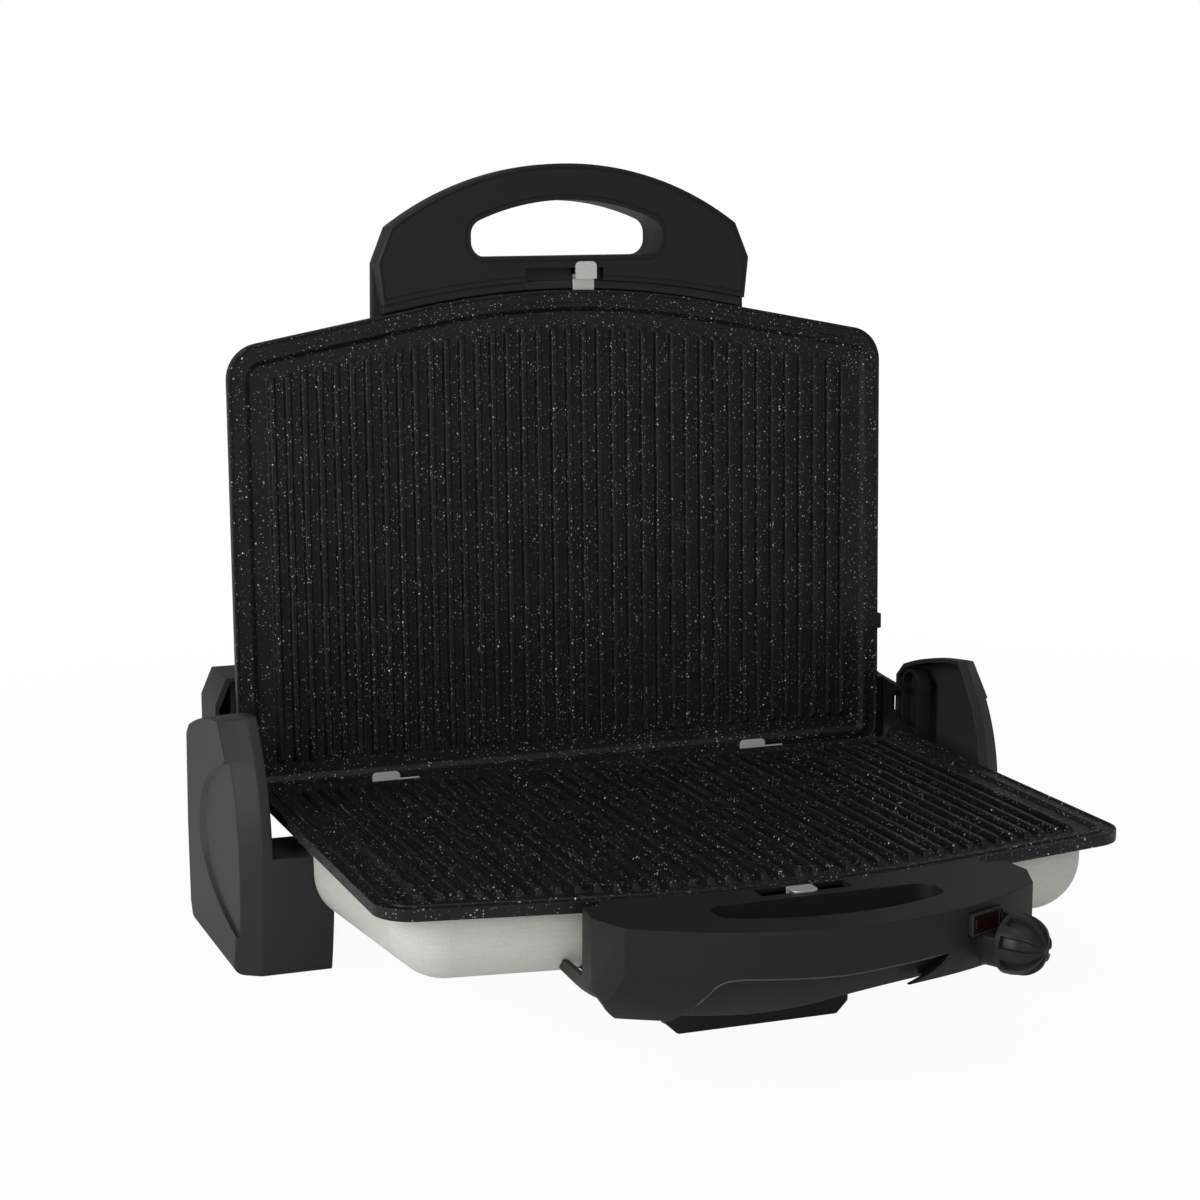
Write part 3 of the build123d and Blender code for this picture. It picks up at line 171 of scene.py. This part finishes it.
# %% [markdown]
# ## Speckled non-stick coating
#
# The plates are cast, blasted and sprayed with a black coating full of pale mineral chips. The chips
# come in several sizes and lie at random, so we take four Voronoi patterns: each cell has one point,
# and a chip shows where the point is near and the cell's random value is low. Noise bends the
# coordinates a little, which makes the chips ragged, and a wider noise gathers them in clouds. The
# chips' grey is set paler than the chips themselves, as painted glints for the light they catch. The
# blasted casting below gives a fine bump. An image of chips would repeat and blur; these never do.

# %% Speckled non-stick coating
# painted glint: the greys below are paler than the real chips, standing in for the light the chips catch
CHIP_LAYERS = [  # cells per metre, share of cells kept, radius in cells, grey
    (210.0, 0.20, 0.12, 0.90),
    (340.0, 0.30, 0.16, 0.85),
    (540.0, 0.34, 0.20, 0.70),
    (860.0, 0.30, 0.26, 0.45),
]
CHIP_WOBBLE = 0.0009  # how far the coordinates are bent, in metres
CHIP_CLUSTERS = 75.0  # clouds of chips per metre
CHIP_CORE = 0.7       # share of a chip's radius that is fully pale
DULL_CHIP = 0.2       # the dullest chips keep this share of their layer's grey
BLAST_DEPTH = 0.00014


def coating_finish():
    material, tree, shader, place = new_finish("speckled_coating", Base_Color=(0.012, 0.012, 0.013, 1),
                                               Roughness=0.42, Specular_IOR_Level=0.3)
    wobble = add_node(tree, "ShaderNodeTexNoise", {"Scale": 900.0, "Detail": 2.0}, {"Vector": place})
    shift = add_node(tree, "ShaderNodeVectorMath", {"Scale": CHIP_WOBBLE},
                     {"Vector": wobble.outputs["Color"]}, operation="SCALE")
    bent = add_node(tree, "ShaderNodeVectorMath", operation="ADD")
    tree.links.new(place, bent.inputs[0])
    tree.links.new(shift.outputs["Vector"], bent.inputs[1])
    cloud = noise(tree, place, 45.0, 3.0)
    colour = ramp(tree, cloud, (0.35, 0.004), (0.65, 0.007))
    crowd = ramp(tree, noise(tree, place, CHIP_CLUSTERS, 2.0), (0.38, 0.35), (0.58, 1.0))
    for cells, share, radius, grey in CHIP_LAYERS:
        voronoi = add_node(tree, "ShaderNodeTexVoronoi", {"Scale": cells}, {"Vector": bent.outputs["Vector"]})
        near = ramp(tree, voronoi.outputs["Distance"], (radius * CHIP_CORE, 1.0), (radius, 0.0))
        pick = add_node(tree, "ShaderNodeSeparateColor", links={"Color": voronoi.outputs["Color"]})
        chosen = ramp(tree, pick.outputs["Red"], (share, 1.0), (share + 0.02, 0.0))
        # painted glint: each chip's grey, up to its layer's raised grey, stands in partly for light the chip
        # catches
        bright = ramp(tree, pick.outputs["Green"], (0.0, grey * DULL_CHIP), (1.0, grey))
        both = mix(tree, 1.0, mix(tree, 1.0, near, chosen, "MULTIPLY"), crowd, "MULTIPLY")
        colour = mix(tree, both, colour, bright)
    tree.links.new(colour, shader.inputs["Base Color"])
    rough = ramp(tree, noise(tree, place, 900.0), (0.3, 0.36), (0.7, 0.52))
    tree.links.new(rough, shader.inputs["Roughness"])
    bump(tree, shader, noise(tree, place, 1400.0, 3.0), BLAST_DEPTH, 0.6)
    return material


COATING = coating_finish()
print("coating layers", len(CHIP_LAYERS))

# %% [markdown]
# ## Enamelled sheet
#
# The housings are pressed from sheet and enamelled in a warm light grey. Up close the enamel has a
# fine grain that runs around the bowl, and it is glossier than the plastics. The grain could be a
# wave pattern, but waves look ruled. So a stretched noise gives it, both in the colour and, very
# faintly, in the bump.

# %% Enamelled sheet
ENAMEL_GRAIN_DEPTH = 0.00006


def enamel_finish():
    material, tree, shader, place = new_finish("warm_enamel", Base_Color=(0.69, 0.69, 0.64, 1),
                                               Roughness=0.40)
    along = noise(tree, place, 1.0, 3.0, stretch=(60.0, 60.0, 1300.0))
    cloud = noise(tree, place, 900.0, 2.0)
    base = ramp(tree, along, (0.3, (0.64, 0.64, 0.59)), (0.7, (0.73, 0.73, 0.68)))
    colour = mix(tree, 0.35, base, ramp(tree, cloud, (0.3, (0.60, 0.60, 0.55)), (0.7, (0.76, 0.76, 0.71))))
    tree.links.new(colour, shader.inputs["Base Color"])
    bump(tree, shader, along, ENAMEL_GRAIN_DEPTH, 0.35)
    return material


ENAMEL = enamel_finish()
print("enamel ready")

# %% [markdown]
# ## Moulded plastics
#
# The mouldings are glass-filled plastic with a spark-eroded grain: dark, and with a wide soft sheen.
# One recipe serves them all, with the shade, the roughness and the grain as its values. The sheen is
# kept low, because a full one would turn black mouldings grey in a white room.

# %% Moulded plastics
PLASTIC_SPECULAR = 0.22
PLASTIC_GRAIN_DEPTH = 0.00008
COOL_TINT = 1.03  # blue over red and green


def plastic_finish(name, grey, roughness, grain=1300.0):
    material, tree, shader, place = new_finish(name, Base_Color=(grey, grey, grey * COOL_TINT, 1),
                                               Roughness=roughness, Specular_IOR_Level=PLASTIC_SPECULAR)
    cloud = noise(tree, place, 25.0, 4.0)
    fine = noise(tree, place, grain, 2.0)
    low, high = grey * 0.93, grey * 1.07
    dark, pale = (low, low, low * COOL_TINT), (high, high, high * COOL_TINT)
    tree.links.new(ramp(tree, cloud, (0.3, dark), (0.7, pale)), shader.inputs["Base Color"])
    tree.links.new(ramp(tree, fine, (0.3, roughness - 0.05), (0.7, roughness + 0.05)),
                   shader.inputs["Roughness"])
    bump(tree, shader, fine, PLASTIC_GRAIN_DEPTH, 0.4)
    return material


PLASTICS = {
    "plastic_body": plastic_finish("dark_grey_plastic", 0.026, 0.50),
    "plastic_front": plastic_finish("black_plastic", 0.014, 0.46),
    "knob_plastic": plastic_finish("knob_plastic", 0.018, 0.34, 2200.0),
    "rubber": plastic_finish("black_rubber", 0.015, 0.75, 900.0),
    "arm_black": plastic_finish("black_paint", 0.008, 0.38, 1800.0),
    "ceramic": plastic_finish("white_insulator", 0.7, 0.4),
    "thermostat_body": plastic_finish("brown_insulator", 0.12, 0.5),
}
print("plastics", sorted(PLASTICS))

# %% [markdown]
# ## Steels and bright sheet
#
# Hooks and latches are stamped from bright strip, the pins are zinc plated, and the reflector trays
# are aluminised sheet. Rolled metal shows faint lines in one direction, so its roughness comes from
# a noise that is squeezed hard along one axis.

# %% Steels and bright sheet
ROLLED_LINE_DEPTH = 0.00002


def metal_finish(name, colour, roughness, metallic=1.0, lines=(60.0, 2500.0, 2500.0)):
    material, tree, shader, place = new_finish(name, Base_Color=(*colour, 1), Roughness=roughness,
                                               Metallic=metallic)
    streak = noise(tree, place, 1.0, 3.0, stretch=lines)
    darker = tuple(c * 0.86 for c in colour)
    tree.links.new(ramp(tree, streak, (0.3, darker), (0.7, colour)), shader.inputs["Base Color"])
    tree.links.new(ramp(tree, streak, (0.3, roughness - 0.06), (0.7, roughness + 0.08)),
                   shader.inputs["Roughness"])
    bump(tree, shader, streak, ROLLED_LINE_DEPTH, 0.3)
    return material


METALS = {
    "steel_bright": metal_finish("bright_strip", (0.82, 0.82, 0.81), 0.34, 0.65),
    "steel_grey": metal_finish("zinc_plate", (0.42, 0.42, 0.44), 0.38),
    "heater_sheath": metal_finish("heater_sheath", (0.22, 0.19, 0.16), 0.45),
    "reflector_sheet": metal_finish("aluminised_sheet", (0.8, 0.8, 0.8), 0.3),
}
print("metals", sorted(METALS))

# %% [markdown]
# ## The pilot lamp's lens and glow tube
#
# The lens is dark red plastic. It is off, so it must look nearly black with a red depth. Real
# transmission would show the dark inside of the panel and cost much time, so the depth comes from a
# low red base with fine ribs and a coat. The tube behind it is glass and may be see-through.

# %% The lens and the tube
def lens_finish():
    material, tree, shader, place = new_finish("red_lens", Base_Color=(0.012, 0.002, 0.002, 1),
                                               Roughness=0.3, Coat_Weight=0.3, Coat_Roughness=0.2)
    ribs = add_node(tree, "ShaderNodeTexWave", {"Scale": 220.0, "Distortion": 0.0}, {"Vector": place},
                    wave_type="BANDS", bands_direction="X")
    red = ramp(tree, ribs.outputs["Fac"], (0.2, (0.006, 0.002, 0.002)), (0.8, (0.030, 0.004, 0.004)))
    tree.links.new(red, shader.inputs["Base Color"])
    return material


def tube_finish():
    material, tree, shader, place = new_finish("glow_tube", Base_Color=(0.8, 0.45, 0.3, 1), Roughness=0.1,
                                               Transmission_Weight=0.7)
    tree.links.new(ramp(tree, noise(tree, place, 400.0), (0.3, (0.7, 0.4, 0.3)), (0.7, (0.9, 0.5, 0.35))),
                   shader.inputs["Base Color"])
    return material


FINISHES = {"plate_coating": COATING, "housing_enamel": ENAMEL, "lens_red": lens_finish(),
            "lamp_glass": tube_finish(), **PLASTICS, **METALS}
print("finishes", len(FINISHES))

# %% [markdown]
# ## Giving every measured piece its finish
#
# The record says which finish each node has. Most nodes have the right shape already, so they only
# need the material. The ones with curves or with edges that catch the light are copied below, and
# the copy gets smooth shading and small rounds.

# %% A finish on every node
SLOT_OF = {s["node"]: s["material_slot"] for s in frame["record"]["subparts"]}
BODY_OF = {n: body for body, members in frame["record"]["behaviour"]["bodies"].items() for n in members}

for node_name, node_object in frame["nodes"].items():
    node_object.data.materials.clear()
    node_object.data.materials.append(FINISHES[SLOT_OF[node_name]])
print("finished nodes", len(frame["nodes"]))

# %% [markdown]
# ## Rounding a measured piece
#
# No moulded, cast or stamped edge is truly sharp. `dress` copies a node's mesh, merges its loose
# triangles, joins the ones that lie in one plane, bevels the edges that are sharper than an angle and
# shades the rest smooth. The copy then stands in for the node and rides on the same body. New shapes
# are skinned over loops of points; `skinned_piece` serves the knob, the lamp and the bead.

# %% Rounding a measured piece
FLAT_ANGLE = 0.05   # faces that meet at less than this many degrees are one face
SHORT_SHARE = 0.25  # edges shorter than this share of the round's width are merged first


def finish_piece(piece, slot_name, body, *replaced):
    """Material, body and slot for a finished piece; the nodes it replaces are hidden."""
    piece.data.materials.clear()
    piece.data.materials.append(FINISHES[slot_name])
    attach(piece, body)
    if replaced:
        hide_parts(*replaced)
    return piece


def piece_from(bm, name, smooth_angle=35.0):
    """A new object from a bmesh, smooth except at edges sharper than the angle."""
    limit = math.radians(smooth_angle)
    for face in bm.faces:
        face.smooth = True
    for edge in bm.edges:
        edge.smooth = len(edge.link_faces) != 2 or edge.calc_face_angle(0) < limit
    mesh = bpy.data.meshes.new(name)
    bm.to_mesh(mesh)
    bm.free()
    piece = bpy.data.objects.new(name, mesh)
    bpy.context.scene.collection.objects.link(piece)
    flats = piece.modifiers.new("flat_faces_stay_flat", "WEIGHTED_NORMAL")
    flats.keep_sharp = True
    return piece


def round_edges(bm, edges, width_mm, segments=2):
    """Bevel edges to a real width."""
    bmesh.ops.bevel(bm, geom=edges, offset=width_mm * MM, offset_type="OFFSET", affect="EDGES",
                    segments=segments, profile=0.5, material=-1, clamp_overlap=False)


def dress(node_name, width_mm, angle):
    """A rounded, smooth copy of a node that replaces it."""
    bm = bmesh.new()
    bm.from_mesh(frame["nodes"][node_name].data)
    bmesh.ops.remove_doubles(bm, verts=bm.verts, dist=1e-6)
    bmesh.ops.dissolve_limit(bm, angle_limit=math.radians(FLAT_ANGLE), verts=bm.verts, edges=bm.edges)
    bmesh.ops.dissolve_degenerate(bm, dist=SHORT_SHARE * width_mm * MM, edges=bm.edges)
    sharp = [e for e in bm.edges if len(e.link_faces) == 2 and e.calc_face_angle(0) > math.radians(angle)]
    round_edges(bm, sharp, width_mm)
    piece = piece_from(bm, node_name + "_dressed")
    finish_piece(piece, SLOT_OF[node_name], BODY_OF[node_name], node_name)
    print(piece.name, "faces", len(piece.data.polygons), "rounded edges", len(sharp))
    return piece


def skinned_piece(bm, loops, name, smooth_angle=35.0, ring=False):
    """A closed piece skinned over loops of points; a ring joins its last loop to its first."""
    chain = loops + loops[:1] if ring else loops
    for one, other in zip(chain, chain[1:]):
        for k in range(len(one)):
            n = (k + 1) % len(one)
            bm.faces.new((one[k], one[n], other[n], other[k]))
    if not ring:
        bm.faces.new(loops[0])
        bm.faces.new(list(reversed(loops[-1])))
    bmesh.ops.recalc_face_normals(bm, faces=bm.faces)
    return piece_from(bm, name, smooth_angle)


# %% [markdown]
# ## Which pieces are rounded, and by how much
#
# Cast plates have rounds of about half a millimetre, mouldings a little more, and stamped strip only
# loses its burr. The columns also get the shallow edges of their side hollow rounded, because they
# show as a soft line.

# %% Rounded pieces
ROUNDS = {  # node: (width in millimetres, least angle that is rounded)
    "upper_plate": (0.5, 28), "lower_plate": (0.5, 28),
    "upper_housing": (0.35, 40), "lower_housing": (0.35, 40),
    "handle_front": (0.3, 28), "handle_rear": (0.5, 32), "handle_screws": (0.2, 28),
    "panel_shell": (0.4, 32), "panel_tray": (0.4, 32), "front_foot": (1.0, 28), "cord_gland": (0.6, 40),
    "upper_latch": (0.22, 28), "lower_latch": (0.22, 28), "upper_plate_hooks": (0.25, 28),
    "lower_plate_hooks": (0.25, 28), "base_screws": (0.2, 28), "foot_pads_right": (0.6, 28),
    "foot_pads_left": (0.6, 28), "front_foot_pads": (0.6, 28),
}
for side in ("right", "left"):
    ROUNDS.update({"column_" + side: (0.7, 9), "guide_" + side: (0.4, 28), "carrier_" + side: (0.5, 28),
                   "hinge_pin_" + side: (0.4, 28), "lid_arm_" + side: (0.4, 28),
                   "arm_cover_" + side: (0.5, 28)})
for node_name, (width, least_angle) in ROUNDS.items():
    dress(node_name, width, least_angle)

# %% [markdown]
# ## The knob
#
# The knob is a dome with eight sunken flutes that run out at its tip. Cutting eight grooves out of a
# turned body would leave ragged ends there. So we build it ring by ring along the spindle: every ring
# has eight points per flute, placed by the flute's width at that ring, so the flute's edges stay crisp
# from the rim to the tip.

# %% The knob
KNOB_FLUTES = 8
FLUTE_W_MM = 4.8
FLUTE_DEPTH_MM = 2.3
FLUTE_EDGE = 0.035      # width of a flute's side wall, as a share of the pitch
FLUTE_MAX_HALF = 0.30   # widest half flute, as a share of the pitch
FLUTE_START = 0.15      # the rim's share of the knob's length
FLUTE_MAX_DEPTH = 0.3   # deepest flute, as a share of the radius there
FLUTE_TURN = 0.35       # turns the flutes about the spindle, in pitches
BORE_R_MM = 3.05
DOME_SHAPE = 3.0
DOME_ROUND = 0.55
DOME_STEPS = 40
TIP_SHARE = 0.12        # radius of the flat tip, as a share of the knob's
BACK_EDGE_MM = 0.4


def knob_rings(radius, length):
    """Distance from the back, radius and flute depth of each ring, in metres."""
    rings = [(0.5 * length, BORE_R_MM * MM, 0.0), (0.0, BORE_R_MM * MM, 0.0),
             (0.0, radius - BACK_EDGE_MM * MM, 0.0), (BACK_EDGE_MM * MM, radius, 0.0)]
    for step in range(1, DOME_STEPS):
        along = step / DOME_STEPS
        wide = radius * (1 - along ** DOME_SHAPE) ** DOME_ROUND
        sunk = 0.0 if along <= FLUTE_START else min(FLUTE_DEPTH_MM * MM, FLUTE_MAX_DEPTH * wide)
        rings.append((along * length, wide, sunk))
    return rings + [(length, TIP_SHARE * radius, 0.0)]


def knob_piece():
    joint = next(j for j in frame["joints"] if j["name"] == "thermostat_turn")
    centre, out = Vector(joint["pos_m"]), -Vector(joint["axis"])
    side = out.cross(Vector((0, 0, 1))).normalized()
    up = side.cross(out)
    points = [v.co - centre for v in frame["nodes"]["thermostat_knob"].data.vertices]
    back, tip = min(p.dot(out) for p in points), max(p.dot(out) for p in points)
    radius = max((p - out * p.dot(out)).length for p in points)
    pitch = 2 * math.pi / KNOB_FLUTES
    bm = bmesh.new()
    rings = []
    for along, wide, sunk in knob_rings(radius, tip - back):
        half = min(0.5 * FLUTE_W_MM * MM / wide / pitch, FLUTE_MAX_HALF)
        lip = half + FLUTE_EDGE
        shares = [(-0.5, 0), (-0.5 * (0.5 + lip), 0), (-lip, 0), (-half, 1), (0.0, 1), (half, 1), (lip, 0),
                  (0.5 * (0.5 + lip), 0)]
        ring = []
        for flute in range(KNOB_FLUTES):
            for share, low in shares:
                angle = (flute + FLUTE_TURN + share) * pitch
                reach = wide - low * sunk
                ring.append(bm.verts.new(centre + out * (back + along) + side * (reach * math.cos(angle))
                                         + up * (reach * math.sin(angle))))
        rings.append(ring)
    piece = skinned_piece(bm, rings, "thermostat_knob_fluted", 30.0)
    finish_piece(piece, SLOT_OF["thermostat_knob"], BODY_OF["thermostat_knob"], "thermostat_knob")
    print(piece.name, "faces", len(piece.data.polygons), "radius mm", round(radius / MM, 2))
    return piece


knob_piece()

# %% [markdown]
# ## The pilot lamp
#
# A thin rounded frame holds a nearly flush lens. Both could be bevelled boxes, but a frame needs its
# inner and outer corners rounded alike. So both are skinned over rounded rectangles, each drawn in a
# little and set at its own depth. They sit on the measured lens: its largest face gives the direction
# in which the lamp looks.

# %% The pilot lamp
LAMP_W_MM, LAMP_H_MM = 21.0, 10.0
CORNER_STEPS = 6
FRAME_LOOPS = [  # drawn in, corner radius, depth behind the measured front, in millimetres
    (0.0, 1.6, 6.0), (0.0, 1.6, 0.9), (0.3, 1.3, 0.5), (0.75, 0.9, 0.5), (0.9, 0.8, 0.7), (0.9, 0.8, 6.0),
]
LENS_LOOPS = [
    (0.95, 0.75, 5.5), (0.95, 0.75, 1.2), (1.3, 0.5, 0.9), (2.3, 0.4, 0.9), (2.5, 0.4, 1.3), (2.9, 0.4, 1.3),
    (3.1, 0.4, 0.9),
]


def lamp_outline(inset, corner):
    """Corner-rounded rectangle of the lamp, drawn in by inset, as (across, up) in metres."""
    points = []
    half_w, half_h = (LAMP_W_MM / 2 - inset - corner) * MM, (LAMP_H_MM / 2 - inset - corner) * MM
    for quarter, (sx, sy) in enumerate(((1, 1), (-1, 1), (-1, -1), (1, -1))):
        for step in range(CORNER_STEPS):
            angle = math.radians(90 * quarter + 90 / (CORNER_STEPS - 1) * step)
            points.append((sx * half_w + corner * MM * math.cos(angle),
                           sy * half_h + corner * MM * math.sin(angle)))
    return points


def lamp_pieces():
    lens = frame["nodes"]["lamp_lens"].data
    ahead = max((f for f in lens.polygons if f.normal.y < -0.5), key=lambda f: f.area)
    out = ahead.normal.copy()
    across = Vector((0, 0, 1)).cross(out).normalized()
    corners = [v.co for v in frame["nodes"]["lamp_bezel"].data.vertices]
    middle = sum((c for c in corners), Vector()) / len(corners)
    origin = middle + out * (max(c.dot(out) for c in corners) - middle.dot(out))
    for name, replaced, table, ring in (("lamp_frame", "lamp_bezel", FRAME_LOOPS, True),
                                        ("lamp_lens_moulded", "lamp_lens", LENS_LOOPS, False)):
        bm = bmesh.new()
        loops = [[bm.verts.new(origin + across * a + Vector((0, 0, u)) - out * (depth * MM))
                  for a, u in lamp_outline(inset, corner)] for inset, corner, depth in table]
        piece = skinned_piece(bm, loops, name, ring=ring)
        finish_piece(piece, SLOT_OF[replaced], BODY_OF[replaced], replaced)
    print("lamp looks along", [round(v, 2) for v in out])


lamp_pieces()

# %% [markdown]
# ## The bead along the panel's curved line
#
# The upper moulding ends in a small rounded bead where the belly starts. A crease alone would hardly
# show on dark plastic, so the bead is a real tube that catches the light, and it is also given a paler
# grey than the moulding as a painted highlight. We know the line's heights; a ray onto the moulding
# finds how far forward the surface is at each of them.

# %% The bead along the curved line
BEAD_LINE_MM = [  # across, above the table
    (-70.6, 44.0), (-67.3, 48.4), (-65.2, 51.6), (-63.0, 54.9), (-60.6, 56.9), (-57.8, 57.9), (-54.5, 58.4),
    (-51.0, 58.6), (-42.0, 58.4), (-33.0, 58.2), (-21.0, 58.1), (-10.0, 58.1), (-1.0, 58.6), (7.0, 59.2),
    (16.0, 59.7), (25.0, 60.1), (33.0, 60.4), (40.0, 60.7),
]
BEAD_R_MM = 0.42
# painted highlight: a paler grey than the black moulding, standing in for the light the bead's edge catches
PAINTED_HIGHLIGHT_EDGE = plastic_finish("painted_highlight_edge", 0.07, 0.30)
BEAD_SIDES = 8
BEAD_LIFT_MM = 0.5    # above the line, so that the ray meets the moulding and not the gap
BEAD_SINK_MM = 0.15   # how deep the bead's middle lies in the surface
BEAD_END_SHARE = 0.35
RAY_START_Y = -0.5
FRONT_LIMIT_Y = -0.10


def bead_piece():
    shell = bpy.data.objects["panel_shell_dressed"]
    path = []
    for x_mm, z_mm in BEAD_LINE_MM:
        start = Vector((x_mm * MM, RAY_START_Y, (z_mm + BEAD_LIFT_MM) * MM))
        hit, place = shell.ray_cast(start, Vector((0, 1, 0)))[:2]
        if hit and place.y < FRONT_LIMIT_Y:
            path.append(Vector((place.x, place.y + BEAD_SINK_MM * MM, place.z)))
    bm = bmesh.new()
    rings = []
    for k, point in enumerate(path):
        ahead = (path[min(k + 1, len(path) - 1)] - path[max(k - 1, 0)]).normalized()
        side = ahead.cross(Vector((0, 1, 0))).normalized()
        out = side.cross(ahead)
        thin = BEAD_END_SHARE if k in (0, len(path) - 1) else 1.0
        rings.append([bm.verts.new(point + (side * math.cos(a) + out * math.sin(a)) * (BEAD_R_MM * MM * thin))
                      for a in (2 * math.pi * n / BEAD_SIDES for n in range(BEAD_SIDES))])
    bead = skinned_piece(bm, rings, "panel_bead", 60.0)
    finish_piece(bead, SLOT_OF["panel_shell"], BODY_OF["panel_shell"])
    # the bead gets the painted highlight's paler grey
    bead.data.materials[0] = PAINTED_HIGHLIGHT_EDGE
    print("bead points", len(path), "of", len(BEAD_LINE_MM))


bead_piece()

# %% [markdown]
# ## The white floor
#
# The picture has a pure white ground. A plain white floor would turn grey in its own light, and a
# glowing one would lose the shadow. So the floor takes the light plainly, and for the camera a large
# share of it glows white, all of it far from the grill. Mirrored rays see only a small share of that
# glow, so the dark plastics stay dark.

# %% Floor
FLOOR_HALF = 4.0
FLOOR_ALBEDO = 0.92
NEAR_SPREAD = 0.9       # the shadow's zone reaches out to one over this, in metres
NEAR_WHITE = 0.95       # share of glow beside the grill
MIRRORED_FLOOR = 0.15   # share of the glow that mirrored rays see


def floor_finish():
    material = bpy.data.materials.new("white_floor")
    material.use_nodes = True
    tree = material.node_tree
    tree.nodes.clear()
    place = add_node(tree, "ShaderNodeTexCoord").outputs["Object"]
    spread = add_node(tree, "ShaderNodeMapping", {"Scale": (NEAR_SPREAD,) * 3}, {"Vector": place})
    near = add_node(tree, "ShaderNodeTexGradient", links={"Vector": spread.outputs["Vector"]},
                    gradient_type="SPHERICAL")
    white = ramp(tree, near.outputs["Fac"], (0.0, 1.0), (0.6, NEAR_WHITE))
    path = add_node(tree, "ShaderNodeLightPath").outputs
    soft = math_node(tree, "MULTIPLY", path["Is Glossy Ray"], MIRRORED_FLOOR)
    seen = math_node(tree, "MAXIMUM", path["Is Camera Ray"], soft)
    also = math_node(tree, "MAXIMUM", seen, path["Is Transmission Ray"])
    share = math_node(tree, "MULTIPLY", also, white)
    diffuse = add_node(tree, "ShaderNodeBsdfDiffuse", {"Color": (FLOOR_ALBEDO,) * 3 + (1,)})
    glow = add_node(tree, "ShaderNodeEmission", {"Color": (1, 1, 1, 1), "Strength": 1.0})
    both = shader_mix(tree, share, diffuse.outputs["BSDF"], glow.outputs["Emission"])
    add_node(tree, "ShaderNodeOutputMaterial", links={"Surface": both})
    return material


bm = bmesh.new()
bmesh.ops.create_grid(bm, x_segments=1, y_segments=1, size=FLOOR_HALF)
floor = piece_from(bm, "floor")
floor.data.materials.append(floor_finish())
print("floor", 2 * FLOOR_HALF, "m wide")

# %% [markdown]
# ## Light
#
# The picture was lit from the upper left: the left column's side is the brightest plastic, and the
# plates are nearly even. One softbox would give hard shadows in the bowls. So a large box hangs above,
# one stands on the left, a weak one in front, and a very weak one on the right opens the dark side.

# %% Light
LAMPS = [  # name, place, aimed at, width, height, watts
    ("top_softbox", (-0.3, -0.6, 1.9), (0, 0, 0.1), 1.6, 1.2, 7.5),
    ("left_softbox", (-1.8, -0.5, 0.8), (0, 0, 0.15), 1.0, 1.0, 18.0),
    ("right_softbox", (1.6, -0.7, 0.8), (0, 0, 0.1), 1.0, 1.0, 0.8),
    ("front_softbox", (-0.6, -2.2, 1.0), (0, 0, 0.1), 1.6, 0.8, 9.0),
]
for name, place, aim, width, height, watts in LAMPS:
    light = bpy.data.lights.new(name, "AREA")
    light.shape = "RECTANGLE"
    light.size = width
    light.size_y = height
    light.energy = watts
    lamp = bpy.data.objects.new(name, light)
    lamp.location = place
    lamp.rotation_euler = (Vector(aim) - Vector(place)).to_track_quat("-Z", "Y").to_euler()
    bpy.context.scene.collection.objects.link(lamp)
print("lamps", len(LAMPS), "watts", sum(lamp[-1] for lamp in LAMPS))

# %% [markdown]
# ## The white room
#
# The room around the grill gives a soft light from all sides. Its strength as a light and its look as
# a ground are two things: the camera sees pure white, and all other rays get a much dimmer room.

# %% White room
ROOM_LIGHT = 0.25

world = bpy.data.worlds.new("white_room")
world.use_nodes = True
tree = world.node_tree
tree.nodes.clear()
path = add_node(tree, "ShaderNodeLightPath").outputs
seen = math_node(tree, "MAXIMUM", path["Is Camera Ray"], path["Is Transmission Ray"])
ambient = add_node(tree, "ShaderNodeBackground", {"Color": (1, 1, 1, 1), "Strength": ROOM_LIGHT})
white = add_node(tree, "ShaderNodeBackground", {"Color": (1, 1, 1, 1), "Strength": 1.0})
both = shader_mix(tree, seen, ambient.outputs["Background"], white.outputs["Background"])
add_node(tree, "ShaderNodeOutputWorld", links={"Surface": both})
bpy.context.scene.world = world
print("room light", ROOM_LIGHT)
